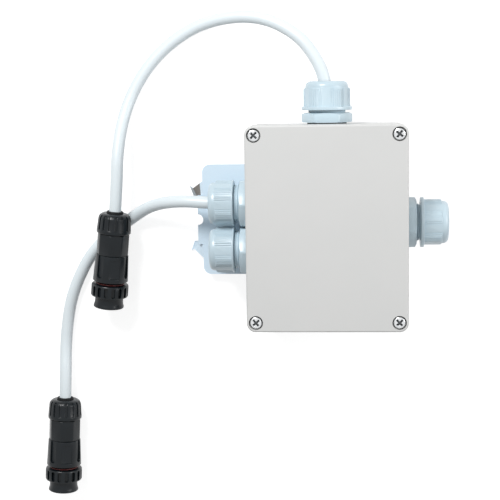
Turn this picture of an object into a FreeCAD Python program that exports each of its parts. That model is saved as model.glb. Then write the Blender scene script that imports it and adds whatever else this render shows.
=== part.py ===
"""Surface-mounted junction box with a screwed lid, four cable glands, a clawed rail plate and two cables.

The box lies on its back. +Z points out of the lid, +Y towards the gland at the head of the box and +X towards
the gland on its right side. The origin is on the face that the claws rest on, under the middle of the box.
Each piece is one node, and cables that end in an outdoor connector lie beside the box on the same face.
"""

import FreeCAD, Part
import math
import os

from FreeCAD import Vector

os.makedirs("parts", exist_ok=True)

# Enclosure, in mm
LID_WIDTH = 90.0
LID_LENGTH = 115.0
LID_HEIGHT = 15.0
LID_CORNER = 5.0
LID_EDGE_ROUND = 1.0
LID_TOP_WALL = 2.5
BASE_HEIGHT = 40.0
BASE_INSET = 0.9
BASE_WALL = 3.0
BASE_FLOOR = 2.5
BASE_EDGE_ROUND = 1.2
TONGUE_WIDTH = 1.3
TONGUE_HEIGHT = 1.6
GROOVE_SIDE_GAP = 0.4
GROOVE_LIP = 1.2
GASKET_HEIGHT = 1.8
GASKET_GAP = 0.05

# Lid screws in their columns
SCREW_INSET_X = 5.1
SCREW_INSET_Y = 5.3
COLUMN_RADIUS = 5.0
SCREW_RECESS_RADIUS = 4.0
SCREW_RECESS_DEPTH = 2.8
SCREW_HEAD_RADIUS = 3.55
SCREW_HEAD_HEIGHT = 2.4
SCREW_HEAD_ROUND = 0.7
SCREW_CROSS_WIDTH = 0.9
SCREW_CROSS_LENGTH = 3.8
SCREW_CROSS_DEPTH = 1.3
SCREW_SHANK_RADIUS = 2.0
SCREW_HOLE_RADIUS = 2.25
SCREW_REACH = 6.5
SCREW_TURN = 45.0
INSERT_RADIUS = 2.8
INSERT_BORE_RADIUS = 2.1
INSERT_LENGTH = 9.0
INSERT_DROP = 0.4
KNURL_HALF = 0.4
KNURL_DEPTH = 0.2

# Rail plate with bent claws
PLATE_THICKNESS = 1.5
PLATE_LEFT = -74.6
PLATE_RIGHT = 36.6
PLATE_HALF_HEIGHT = 32.8
PLATE_CORNER = 4.5
TONGUE_REACH = 3.0
TONGUE_HALF = 14.6
NOTCH_RADIUS = 3.2
CLAW_DROP = 6.5
CLAW_WIDTH = 8.4
CLAW_TIP_WIDTH = 4.7
CLAW_TIP_SHIFT = 1.0
CLAW_RUN = 4.2
CLAW_SKEW = 2.2
CLAW_LIP = 1.8
CLAW_LIP_SPREAD = 1.3
PLATE_SCREW_X = 28.0
PLATE_SCREW_Y = 22.0
PLATE_SCREW_RADIUS = 2.0
PLATE_HOLE_RADIUS = 2.15
PLATE_COLLAR_RADIUS = 3.4
PLATE_COLLAR_HEIGHT = 1.4
PLATE_HEAD_RADIUS = 3.6
PLATE_HEAD_HEIGHT = 2.3

# Cable glands, all of one size
GLAND_HEIGHT = 20.0
GLAND_TOP_X = 0.0
GLAND_RIGHT_Y = 0.0
GLAND_LEFT_MIDDLE_Y = -1.8
GLAND_PAIR_SPACING = 27.0
THREAD_RADIUS = 10.0
WALL_HOLE_RADIUS = 10.2
WASHER_RADIUS = 11.2
WASHER_THICKNESS = 1.2
BODY_ACROSS_FLATS = 24.6
BODY_CORNER_RADIUS = 14.0
BODY_HEX_HEIGHT = 5.4
BODY_HEX_BEVEL = 0.8
NECK_RADIUS = 10.7
NECK_LENGTH = 9.0
FINGER_LENGTH = 3.2
FINGER_RADIUS = 9.2
FINGER_COUNT = 8
FINGER_SLOT = 1.3
SEAL_RADIUS = 7.9
SEAL_LENGTH = 11.0
SEAL_START = 3.8
SEAL_BEVEL = 1.0
BODY_BORE_RADIUS = 6.6
INNER_LENGTH = 9.5
LOCKNUT_FLATS = 25.0
LOCKNUT_THICKNESS = 4.5
THREAD_GAP = 0.2
NUT_TIGHT_GAP = 1.6
NUT_LOOSE_GAP = 1.9
NUT_FLANGE_THICKNESS = 1.9
NUT_SLIM_FLANGE_THICKNESS = 1.1
NUT_FLANGE_RADIUS = 14.4
NUT_SLIM_FLANGE_RADIUS = 13.35
NUT_FLANGE_BEVEL = 0.4
NUT_GRIP_LENGTH = 10.6
NUT_GRIP_RADIUS = 13.3
NUT_FLATS = 24.6
NUT_RIB_DEPTH = 0.45
NUT_RIB_WIDTH = 0.7
NUT_RIB_ANGLE = 3.4
NUT_DOME_HEIGHT = 3.8
NUT_DOME_STEP = 0.6
NUT_DOME_ROUND = 2.5
NUT_MOUTH_RADIUS = 6.5
NUT_MOUTH_BEVEL = 0.8
NUT_ROOF_GAP = 0.6

# Cables
CABLE_RADIUS = 3.6
CABLE_SEAL_GAP = 0.1
CORE_RADIUS = 1.1
CORE_SPREAD = 2.2
CORE_RISE = 1.4
CORE_DROP = 0.6
CORE_STRAIGHT = 7.0
CORE_LEAD = 8.0
CORE_LOOP = 9.0
CORE_LOOP_STEP = 4.0
CORE_SIDE = 5.0
CORE_BEND_ROOM = 6.6
JACKET_END = 14.0
RUN_SHARE = 0.45

# Terminal block
BLOCK_X = 6.0
BLOCK_Y = -2.0
BLOCK_PITCH = 10.0
BLOCK_POLES = 3
BLOCK_WIDTH = 33.0
BLOCK_DEPTH = 18.0
BLOCK_HEIGHT = 15.0
BLOCK_STAND = 2.0
STAND_RADIUS = 3.3
BLOCK_STEP = 4.5
BLOCK_STEP_HEIGHT = 6.0
BLOCK_BARRIER = 1.6
ENTRY_HEIGHT = 4.8
ENTRY_RADIUS = 1.7
CLAMP_WIDTH = 5.0
CLAMP_DEPTH = 13.0
CLAMP_HEIGHT = 6.4
CLAMP_BORE_RADIUS = 1.4
CLAMP_GAP = 0.1
CLAMP_LIFT = 0.6
CLAMP_SCREW_RADIUS = 1.5
CLAMP_SCREW_OFFSET = 4.2
CLAMP_SCREW_HEIGHT = 7.0
CLAMP_SLOT = 0.6
WELL_RADIUS = 2.1
FIXING_RADIUS = 1.25
FIXING_HEAD_RADIUS = 2.3
FIXING_HEAD_HEIGHT = 1.6
FIXING_DEPTH = 6.0

# Cable connectors, measured from the end that the cable enters
CONNECTOR_LENGTH = 58.4
GROMMET_TAIL_RADIUS = 4.9
GROMMET_RADIUS = 6.8
GROMMET_TAIL = 1.6
GROMMET_LENGTH = 12.2
GROMMET_EDGE = 0.5
GROMMET_CONE_LENGTH = 1.0
CABLE_SOCKET = 6.0
CAP_START = 1.3
CAP_END = 13.0
CAP_RADIUS = 10.1
CAP_SHOULDER_RADIUS = 9.4
CAP_DOME = 3.0
CAP_RIM = 2.0
CAP_RIBS = 16
CAP_SLOT_WIDTH = 1.5
CAP_SLOT_DEPTH = 0.7
CAP_WALL = 1.9
CAP_CLEARANCE = 0.15
CAP_ROOM = 1.5
TAIL_GAP = 0.5
COLLAR_GAP = 0.4
COLLAR_END = 26.2
COLLAR_RADIUS = 9.45
COLLAR_FLATS = 17.8
SHELL_START_RADIUS = 9.7
SHELL_END_RADIUS = 10.4
SHELL_END = 41.6
SHELL_SHOULDER = 1.4
SHELL_EDGE = 0.3
SHOULDER_RADIUS = 8.1
SPIGOT_RADIUS = 7.1
SPIGOT_BORE_RADIUS = 6.2
SPIGOT_END = 57.0
GRIP_GROOVE_ANGLE = 52.0
GRIP_GROOVE_WIDTH = 4.2
GRIP_GROOVE_DEPTH = 0.9
GRIP_GROOVE_START = 24.0
GRIP_GROOVE_END = 39.6
PANEL_WIDTH = 6.4
PANEL_DEPTH = 0.45
PANEL_START = 28.4
PANEL_END = 39.4
SEAL_RING_RADIUS = 8.8
SEAL_RING_THICKNESS = 1.3
SEAL_RING_EDGE = 0.35
SEAL_RING_GAP = 0.1
COUPLING_START = 44.4
COUPLING_END = 51.6
COUPLING_RADIUS = 11.0
COUPLING_EDGE = 0.7
COUPLING_SLOTS = 16
COUPLING_SLOT_WIDTH = 2.3
COUPLING_SLOT_LENGTH = 5.6
COUPLING_SLOT_DEPTH = 1.9
FRONT_RADIUS = 8.4
FRONT_RIM_RADIUS = 9.0
FRONT_RIM_LENGTH = 1.6
FRONT_RIM_EDGE = 0.4
SLEEVE_GAP = 0.15
INSERT_START = 39.0
INSERT_END = 54.0
CARRIER_GAP = 0.1
KEYWAY_WIDTH = 1.6
CONTACT_RADIUS = 0.8
CONTACT_CIRCLE = 3.3
CONTACT_COUNT = 3
CONTACT_LENGTH = 17.0

# Where the connectors lie: the point at the cable end, the way the front points and the turn about that way
CONNECTORS = {
    "upper": {"at": Vector(-125.4, 6.7, 18.9), "heading": 6.2, "dip": 3.5, "turn": -21},
    "lower": {"at": Vector(-161.0, -108.0, 10.5), "heading": 3.0, "dip": -0.8, "turn": -21},
}

# Routes of the two cables, from inside each gland to the socket of the connector
TOP_ROUTE = (
    Vector(0, 65, 28), Vector(0, 77.5, 28), Vector(-4.3, 92, 27.7), Vector(-16.5, 108.4, 25.2),
    Vector(-40, 119.5, 17.5), Vector(-69.5, 117.3, 8), Vector(-92, 105.5, 3.8), Vector(-109, 88, 3.7),
    Vector(-120, 66, 6), Vector(-123.2, 43, 18.3),
)
LEFT_ROUTE = (
    Vector(-53.5, 11.7, 28), Vector(-66, 11.7, 28), Vector(-86.5, 13.2, 25), Vector(-105, 9.5, 13.2),
    Vector(-119, 0.3, 5), Vector(-132, -9.5, 3.7), Vector(-143, -20, 3.7), Vector(-150.5, -33, 3.7),
    Vector(-156.3, -47, 3.7), Vector(-159.3, -61.5, 3.7), Vector(-161, -78, 4.4),
)
LAST_RUN = {"top": 13.0, "left": 12.0}

# Places that follow from the sizes above
PLATE_TOP = CLAW_DROP + PLATE_THICKNESS
FLOOR = PLATE_TOP + BASE_FLOOR
RIM = PLATE_TOP + BASE_HEIGHT
LID_TOP = RIM + LID_HEIGHT
BASE_HALF_X = LID_WIDTH / 2 - BASE_INSET
BASE_HALF_Y = LID_LENGTH / 2 - BASE_INSET
INNER_INSET = BASE_INSET + BASE_WALL
TONGUE_INSET = INNER_INSET - TONGUE_WIDTH
SCREW_X = LID_WIDTH / 2 - SCREW_INSET_X
SCREW_Y = LID_LENGTH / 2 - SCREW_INSET_Y
GLAND_Z = PLATE_TOP + GLAND_HEIGHT
SEAT = RIM + TONGUE_HEIGHT
RECESS_FLOOR = LID_TOP - SCREW_RECESS_DEPTH
SCREW_PLACES = tuple(Vector(x, y, 0) for x in (-SCREW_X, SCREW_X) for y in (-SCREW_Y, SCREW_Y))
HEX_TOP = WASHER_THICKNESS + BODY_HEX_HEIGHT
CONE_START = GROMMET_TAIL + CAP_WALL
ENTRY_Z = FLOOR + BLOCK_STAND + ENTRY_HEIGHT
CLAMP_BOTTOM = ENTRY_Z - CLAMP_HEIGHT / 2 + CLAMP_LIFT
UP = Vector(0, 0, 1)
CENTRE = Vector(0, 0, 0)


def cylinder(radius, start, end, at=CENTRE):
    """An upright cylinder between two heights."""
    return Part.makeCylinder(radius, end - start, Vector(at.x, at.y, start), UP)


def prism(wire, height):
    """A closed flat wire extruded upwards."""
    return Part.Face(wire).extrude(Vector(0, 0, height))


def turned(profile):
    """A solid of revolution about Z from (radius, height) points that close on themselves."""
    points = [Vector(radius, 0, height) for radius, height in profile]
    return Part.Face(Part.makePolygon(points + points[:1])).revolve(CENTRE, UP, 360)


def polygon_prism(across_flats, sides, start, end):
    """A regular prism with one flat facing +X."""
    corner = across_flats / 2 / math.cos(math.pi / sides)
    angles = [math.pi * (2 * k + 1) / sides for k in range(sides)]
    points = [Vector(corner * math.cos(a), corner * math.sin(a), start) for a in angles]
    return prism(Part.makePolygon(points + points[:1]), end - start)


def rounded_block(half_x, half_y, radius, start, end):
    """An upright block with round corners, centred on the origin."""
    block = Part.makeBox(2 * half_x, 2 * half_y, end - start, Vector(-half_x, -half_y, start))
    uprights = [e for e in block.Edges if abs(e.Vertexes[0].Z - e.Vertexes[1].Z) > (end - start) / 2]
    return block.makeFillet(radius, uprights)


def rounded_at(shape, height, radius):
    """The same solid with its outer edges at one height rounded."""
    edges = [e for e in shape.Edges if max(abs(v.Z - height) for v in e.Vertexes) < radius / 100]
    return shape.makeFillet(radius, edges)


def around(shape, count, first=0.0):
    """Copies of a shape, evenly spaced about Z."""
    copies = []
    for k in range(count):
        copy = shape.copy()
        copy.rotate(CENTRE, UP, first + 360.0 * k / count)
        copies.append(copy)
    return copies


def oriented(shape, at, along, turn=0.0):
    """A shape made along Z, turned about its axis, laid along a direction and moved to a place."""
    posed = shape.copy()
    posed.rotate(CENTRE, UP, turn)
    frame = FreeCAD.Rotation(UP, Vector(), along, "ZXY")
    posed.transformShape(FreeCAD.Placement(at, frame).toMatrix())
    return posed


def write(name, shape):
    """Writes one node, as a single solid or a group of separate solids."""
    solids = shape.Solids
    body = solids[0] if len(solids) == 1 else Part.Compound(solids)
    body.exportStep("parts/" + name + ".step")
    print(name, "solids", len(solids), "valid", body.isValid(), "volume", round(body.Volume, 1))


def sealed_region(inset, start, end):
    """The inside of the sealing line, which passes round the columns, at an inset from the lid's edge."""
    radius = max(LID_CORNER - inset, BASE_EDGE_ROUND)
    region = rounded_block(LID_WIDTH / 2 - inset, LID_LENGTH / 2 - inset, radius, start, end)
    column = COLUMN_RADIUS + inset - TONGUE_INSET
    return region.cut([cylinder(column, start, end, place) for place in SCREW_PLACES])


def gland_places():
    """Each gland's name, place on the wall, way out, flange size, nut gap and turns of hexagon and nut."""
    left = -BASE_HALF_X
    upper = GLAND_LEFT_MIDDLE_Y + GLAND_PAIR_SPACING / 2
    lower = GLAND_LEFT_MIDDLE_Y - GLAND_PAIR_SPACING / 2
    wide = (NUT_FLANGE_RADIUS, NUT_FLANGE_THICKNESS)
    slim = (NUT_SLIM_FLANGE_RADIUS, NUT_SLIM_FLANGE_THICKNESS)
    return (
        ("top", Vector(GLAND_TOP_X, BASE_HALF_Y, GLAND_Z), Vector(0, 1, 0), wide, NUT_TIGHT_GAP, 0, 0),
        ("right", Vector(BASE_HALF_X, GLAND_RIGHT_Y, GLAND_Z), Vector(1, 0, 0), wide, NUT_LOOSE_GAP, -12, 12),
        ("left_upper", Vector(left, upper, GLAND_Z), Vector(-1, 0, 0), slim, NUT_LOOSE_GAP, 30, 0),
        ("left_lower", Vector(left, lower, GLAND_Z), Vector(-1, 0, 0), slim, NUT_LOOSE_GAP, 30, 4),
    )


def enclosure_base():
    """The tray: walls, floor, screw columns, sealing tongue, terminal stand and every hole through it."""
    corner = LID_CORNER - BASE_INSET
    outer = rounded_block(BASE_HALF_X, BASE_HALF_Y, corner, PLATE_TOP, RIM)
    outer = rounded_at(outer, PLATE_TOP, BASE_EDGE_ROUND)
    base = outer.cut(sealed_region(INNER_INSET, FLOOR, RIM))
    tongue = sealed_region(TONGUE_INSET, RIM, SEAT).cut(sealed_region(INNER_INSET, RIM, SEAT))
    half = BLOCK_PITCH / 2
    stands = [cylinder(STAND_RADIUS, FLOOR, FLOOR + BLOCK_STAND, Vector(BLOCK_X + x, BLOCK_Y, 0))
              for x in (-half, half)]
    base = base.fuse([tongue] + stands)
    holes = [cylinder(INSERT_RADIUS, RIM - INSERT_DROP - INSERT_LENGTH, RIM, place) for place in SCREW_PLACES]
    holes += [cylinder(SCREW_SHANK_RADIUS + THREAD_GAP, FLOOR + BASE_FLOOR, RIM, p) for p in SCREW_PLACES]
    holes += [cylinder(PLATE_HOLE_RADIUS, PLATE_TOP, FLOOR, place) for place in plate_screw_places()]
    for _, at, out, _, _, _, _ in gland_places():
        holes.append(Part.makeCylinder(WALL_HOLE_RADIUS, BASE_WALL * 2, at - out * BASE_WALL * 1.5, out))
    stand_top = FLOOR + BLOCK_STAND
    for x in (-half, half):
        place = Vector(BLOCK_X + x, BLOCK_Y, 0)
        holes.append(cylinder(FIXING_RADIUS, stand_top - FIXING_DEPTH / 2, stand_top, place))
    return base.cut(holes)


def enclosure_lid():
    """The lid: a hollow cover with a sealing groove in its rim and four screw recesses."""
    lid = rounded_block(LID_WIDTH / 2, LID_LENGTH / 2, LID_CORNER, RIM, LID_TOP)
    lid = rounded_at(lid, LID_TOP, LID_EDGE_ROUND)
    groove_outer = TONGUE_INSET - GROOVE_SIDE_GAP
    groove_inner = INNER_INSET + GROOVE_SIDE_GAP
    top = SEAT + GASKET_HEIGHT
    groove = sealed_region(groove_outer, RIM, top).cut(sealed_region(groove_inner, RIM, top))
    pocket = sealed_region(groove_inner + GROOVE_LIP, RIM, LID_TOP - LID_TOP_WALL)
    cuts = [groove, pocket]
    for place in SCREW_PLACES:
        cuts.append(cylinder(SCREW_RECESS_RADIUS, RECESS_FLOOR, LID_TOP, place))
        cuts.append(cylinder(SCREW_HOLE_RADIUS, RIM, RECESS_FLOOR, place))
    return lid.cut(cuts)


def lid_gasket():
    """The rubber cord that fills the bottom of the lid's groove and rests on the tongue."""
    outer = TONGUE_INSET - GROOVE_SIDE_GAP + GASKET_GAP
    inner = INNER_INSET + GROOVE_SIDE_GAP - GASKET_GAP
    top = SEAT + GASKET_HEIGHT
    return sealed_region(outer, SEAT, top).cut(sealed_region(inner, SEAT, top))


def lid_screw(place):
    """A captive pan-head screw with a cross recess, its head sunk in the lid."""
    top = RECESS_FLOOR + SCREW_HEAD_HEIGHT
    head = rounded_at(cylinder(SCREW_HEAD_RADIUS, RECESS_FLOOR, top), top, SCREW_HEAD_ROUND)
    shank = cylinder(SCREW_SHANK_RADIUS, RIM - SCREW_REACH, RECESS_FLOOR)
    size = Vector(SCREW_CROSS_LENGTH, SCREW_CROSS_WIDTH, SCREW_CROSS_DEPTH)
    corner = Vector(-size.x / 2, -size.y / 2, top - SCREW_CROSS_DEPTH)
    blade = Part.makeBox(size.x, size.y, size.z, corner)
    screw = head.fuse(shank).cut(around(blade, 2, SCREW_TURN))
    screw.translate(place)
    return screw


def screw_inserts():
    """Threaded brass inserts pressed into the screw columns, with a knurl groove round each."""
    top = RIM - INSERT_DROP
    sleeve = cylinder(INSERT_RADIUS, top - INSERT_LENGTH, top)
    sleeve = sleeve.cut(cylinder(INSERT_BORE_RADIUS, top - INSERT_LENGTH, top))
    middle = top - INSERT_LENGTH / 2
    band = cylinder(2 * INSERT_RADIUS, middle - KNURL_HALF, middle + KNURL_HALF)
    band = band.cut(cylinder(INSERT_RADIUS - KNURL_DEPTH, middle - KNURL_HALF, middle + KNURL_HALF))
    sleeve = sleeve.cut(band)
    copies = []
    for place in SCREW_PLACES:
        copy = sleeve.copy()
        copy.translate(place)
        copies.append(copy)
    return Part.Compound(copies)


def plate_screw_places():
    """Where the screws that hold the box to the plate stand."""
    return tuple(Vector(x, y, 0) for x in (-PLATE_SCREW_X, PLATE_SCREW_X)
                 for y in (-PLATE_SCREW_Y, PLATE_SCREW_Y))


def claw(side):
    """One bent claw at the plate's right end: a steep skewed flank that narrows, then a lip on the rail."""
    root = (TONGUE_HALF, TONGUE_HALF + CLAW_WIDTH)
    tip = (TONGUE_HALF - CLAW_TIP_SHIFT, TONGUE_HALF - CLAW_TIP_SHIFT + CLAW_TIP_WIDTH)
    end = PLATE_RIGHT + CLAW_RUN

    def strip(near_x, far_x, bottom, ends):
        top = bottom + PLATE_THICKNESS
        near, far = side * ends[0], side * ends[1]
        points = [Vector(near_x, near, bottom), Vector(far_x, far, bottom), Vector(far_x, far, top),
                  Vector(near_x, near, top)]
        return Part.makePolygon(points + points[:1])

    bend = strip(end, end + CLAW_SKEW, 0, tip)
    flank = Part.makeLoft([strip(PLATE_RIGHT, PLATE_RIGHT, CLAW_DROP, root), bend], True, True)
    spread = (tip[0], tip[1] + CLAW_LIP_SPREAD)
    edge = strip(end + CLAW_LIP, end + CLAW_SKEW + CLAW_LIP, 0, spread)
    return flank.fuse(Part.makeLoft([bend, edge], True, True))


def rail_plate():
    """The pressed plate behind the box: round corners, a notched tongue at each end and four bent claws."""
    middle = (PLATE_LEFT + PLATE_RIGHT) / 2
    half = (PLATE_RIGHT - PLATE_LEFT) / 2
    plate = rounded_block(half, PLATE_HALF_HEIGHT, PLATE_CORNER, CLAW_DROP, PLATE_TOP)
    reach = half + TONGUE_REACH
    corner = Vector(-reach, -TONGUE_HALF, CLAW_DROP)
    plate = plate.fuse(Part.makeBox(2 * reach, 2 * TONGUE_HALF, PLATE_THICKNESS, corner))
    notches = [cylinder(NOTCH_RADIUS, CLAW_DROP, PLATE_TOP, Vector(x, 0, 0)) for x in (-reach, reach)]
    plate = plate.cut(notches)
    plate.translate(Vector(middle, 0, 0))
    claws = []
    for side in (-1, 1):
        right = claw(side)
        claws.append(right)
        claws.append(right.mirror(Vector(middle, 0, 0), Vector(1, 0, 0)))
    collars = [cylinder(PLATE_COLLAR_RADIUS, CLAW_DROP - PLATE_COLLAR_HEIGHT, CLAW_DROP, p)
               for p in plate_screw_places()]
    plate = plate.fuse(claws + collars)
    holes = [cylinder(PLATE_HOLE_RADIUS, 0, PLATE_TOP, p) for p in plate_screw_places()]
    return plate.cut(holes).removeSplitter()


def plate_screws():
    """Pan-head screws from inside the box into the collars of the plate."""
    top = FLOOR + PLATE_HEAD_HEIGHT
    head = turned([(0, FLOOR), (PLATE_HEAD_RADIUS, FLOOR), (PLATE_HEAD_RADIUS, top - SCREW_HEAD_ROUND),
                   (PLATE_HEAD_RADIUS - SCREW_HEAD_ROUND, top), (0, top)])
    slot = Part.makeBox(2 * PLATE_HEAD_RADIUS, SCREW_CROSS_WIDTH, SCREW_CROSS_DEPTH,
                        Vector(-PLATE_HEAD_RADIUS, -SCREW_CROSS_WIDTH / 2, top - SCREW_CROSS_DEPTH))
    shank = cylinder(PLATE_SCREW_RADIUS, CLAW_DROP - PLATE_COLLAR_HEIGHT, FLOOR)
    screw = head.fuse(shank).cut(slot)
    copies = []
    for place in plate_screw_places():
        copy = screw.copy()
        copy.translate(place)
        copies.append(copy)
    return Part.Compound(copies)


def gland_body():
    """Threaded spigot, hexagon, threaded neck and the ring of clamping fingers that the nut closes."""
    neck_end = HEX_TOP + NECK_LENGTH
    finger_end = neck_end + FINGER_LENGTH
    hexagon = polygon_prism(BODY_ACROSS_FLATS, 6, WASHER_THICKNESS, HEX_TOP)
    corner = BODY_CORNER_RADIUS
    rounding = turned([(0, WASHER_THICKNESS), (corner, WASHER_THICKNESS), (corner, HEX_TOP - BODY_HEX_BEVEL),
                       (corner - BODY_HEX_BEVEL * 2, HEX_TOP), (0, HEX_TOP)])
    tube = turned([
        (0, -INNER_LENGTH), (THREAD_RADIUS, -INNER_LENGTH), (THREAD_RADIUS, WASHER_THICKNESS),
        (NECK_RADIUS, HEX_TOP), (NECK_RADIUS, neck_end), (FINGER_RADIUS, neck_end),
        (FINGER_RADIUS - NUT_DOME_STEP, finger_end), (0, finger_end),
    ])
    body = hexagon.common(rounding).fuse(tube)
    body = body.cut(cylinder(BODY_BORE_RADIUS, -INNER_LENGTH, finger_end))
    body = body.cut(cylinder(SEAL_RADIUS, SEAL_START, finger_end))
    slot = Part.makeBox(FINGER_RADIUS, FINGER_SLOT, FINGER_LENGTH,
                        Vector(BODY_BORE_RADIUS, -FINGER_SLOT / 2, neck_end))
    return body.cut(around(slot, FINGER_COUNT, 180.0 / FINGER_COUNT))


def gland_seal():
    """The rubber sleeve that grips the cable, with a bevelled outer end."""
    end = SEAL_START + SEAL_LENGTH
    bore = CABLE_RADIUS + CABLE_SEAL_GAP
    outer = SEAL_RADIUS - CABLE_SEAL_GAP
    return turned([(bore, SEAL_START), (outer, SEAL_START), (outer, end - SEAL_BEVEL),
                   (outer - SEAL_BEVEL, end), (bore, end)])


def gland_washer():
    """The flat black washer between hexagon and wall."""
    ring = cylinder(WASHER_RADIUS, 0, WASHER_THICKNESS)
    return ring.cut(cylinder(THREAD_RADIUS + THREAD_GAP, 0, WASHER_THICKNESS))


def gland_locknut():
    """The thin hexagon nut inside the wall."""
    start = -BASE_WALL - LOCKNUT_THICKNESS
    nut = polygon_prism(LOCKNUT_FLATS, 6, start, -BASE_WALL)
    nut = nut.common(cylinder(BODY_CORNER_RADIUS, start, -BASE_WALL))
    return nut.cut(cylinder(THREAD_RADIUS + THREAD_GAP, start, -BASE_WALL))


def nut_outline(height):
    """The grip's outline: six wrench flats, and between them arcs with fine grooves."""
    half_flat = math.degrees(math.acos(NUT_FLATS / 2 / NUT_GRIP_RADIUS))
    half_rib = math.degrees(NUT_RIB_WIDTH / 2 / NUT_GRIP_RADIUS)

    def at(radius, angle):
        turn = math.radians(angle)
        return Vector(radius * math.cos(turn), radius * math.sin(turn), height)

    def arc(first, last):
        return Part.Arc(at(NUT_GRIP_RADIUS, first), at(NUT_GRIP_RADIUS, (first + last) / 2),
                        at(NUT_GRIP_RADIUS, last)).toShape()

    edges = []
    deep = NUT_GRIP_RADIUS - NUT_RIB_DEPTH
    for k in range(6):
        start = 60 * k + half_flat
        end = 60 * (k + 1) - half_flat
        middle = 60 * k + 30
        edges.append(Part.makeLine(at(NUT_GRIP_RADIUS, 60 * k - half_flat), at(NUT_GRIP_RADIUS, start)))
        for groove in (middle - NUT_RIB_ANGLE, middle + NUT_RIB_ANGLE):
            near, far = groove - half_rib, groove + half_rib
            edges.append(arc(start, near))
            points = [at(NUT_GRIP_RADIUS, near), at(deep, near), at(deep, far), at(NUT_GRIP_RADIUS, far)]
            edges += [Part.makeLine(a, b) for a, b in zip(points, points[1:])]
            start = far
        edges.append(arc(start, end))
    return Part.Wire(edges)


def gland_nut(gap, flange_size):
    """The domed nut: a flange, a grip with flats and ribs, a round shoulder and the mouth for the cable."""
    flange_radius, thickness = flange_size
    start = HEX_TOP + gap
    grip = start + thickness
    dome = grip + NUT_GRIP_LENGTH
    tip = dome + NUT_DOME_HEIGHT
    round_radius = NUT_FLATS / 2 - NUT_DOME_STEP
    shoulder = rounded_at(cylinder(round_radius, grip, tip), tip, NUT_DOME_ROUND)
    edge = flange_radius - NUT_FLANGE_BEVEL
    flange = turned([(0, start), (edge, start), (flange_radius, start + NUT_FLANGE_BEVEL),
                     (flange_radius, grip - NUT_FLANGE_BEVEL), (edge, grip), (0, grip)])
    nut = prism(nut_outline(grip), NUT_GRIP_LENGTH).fuse([flange, shoulder])
    inner = NECK_RADIUS + THREAD_GAP
    step = HEX_TOP + NECK_LENGTH + THREAD_GAP
    roof = HEX_TOP + NECK_LENGTH + FINGER_LENGTH + NUT_ROOF_GAP
    cavity = turned([(0, start), (inner, start), (inner, step), (FINGER_RADIUS + THREAD_GAP, roof),
                     (0, roof)])
    mouth = cylinder(NUT_MOUTH_RADIUS, step, tip)
    lip = tip - NUT_MOUTH_BEVEL
    bevel = turned([(0, lip), (NUT_MOUTH_RADIUS, lip), (NUT_MOUTH_RADIUS + NUT_MOUTH_BEVEL, tip), (0, tip)])
    return nut.cut([cavity, mouth, bevel])


def cable_path(points):
    """Straight runs joined by tangent arcs, each as large as its two runs allow, and the arcs' radii."""
    edges = []
    radii = []
    last = points[0]
    for before, corner, after in zip(points, points[1:], points[2:]):
        back = (before - corner).normalize()
        on = (after - corner).normalize()
        half_turn = (math.pi - back.getAngle(on)) / 2
        reach = RUN_SHARE * min((corner - before).Length, (after - corner).Length)
        radius = reach / math.tan(half_turn)
        inward = (back + on).normalize()
        middle = corner + inward * (radius / math.cos(half_turn) - radius)
        edges.append(Part.LineSegment(last, corner + back * reach).toShape())
        edges.append(Part.Arc(corner + back * reach, middle, corner + on * reach).toShape())
        last = corner + on * reach
        radii.append(round(radius, 1))
    edges.append(Part.LineSegment(last, points[-1]).toShape())
    return Part.Wire(edges), radii


def tube(points, radius, name):
    """A round tube along a path, with its radii and its volume against section times length."""
    path, radii = cable_path(points)
    circle = Part.Wire(Part.makeCircle(radius, points[0], points[1] - points[0]))
    solid = path.makePipeShell([circle], True, False)
    expected = math.pi * radius ** 2 * path.Length
    share = round(solid.Volume / expected, 4)
    print(name, "length", round(path.Length, 1), "arc radii", radii, "volume share", share)
    return solid


def connector_way(spot):
    """The direction that a connector's front points, from its heading off -Y and its dip below level."""
    heading = math.radians(spot["heading"])
    dip = math.radians(spot["dip"])
    level = math.cos(dip)
    return Vector(-math.sin(heading) * level, -math.cos(heading) * level, -math.sin(dip))


def cable(route, spot, last_run, name):
    """A cable from its gland to the socket in its connector."""
    way = connector_way(spot)
    ends = [spot["at"] - way * last_run, spot["at"] + way * CABLE_SOCKET]
    return tube(list(route) + ends, CABLE_RADIUS, name)


def cable_tail(at, out, end, inside):
    """The straight jacket inside a gland, from where the free cable starts to a depth inside the wall."""
    length = (end - at).dot(out) + inside
    return Part.makeCylinder(CABLE_RADIUS, length, at - out * inside, out)


def left_jacket_x():
    """Where the left jacket ends: far enough from the outermost core's turn that no core meets it."""
    return BLOCK_X - BLOCK_WIDTH / 2 - CORE_SIDE - (BLOCK_POLES - 1) * CORE_LOOP_STEP - CORE_BEND_ROOM


def pole_x(pole):
    """The middle of one pole of the terminal block."""
    return BLOCK_X + (pole - (BLOCK_POLES - 1) / 2) * BLOCK_PITCH


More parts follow.
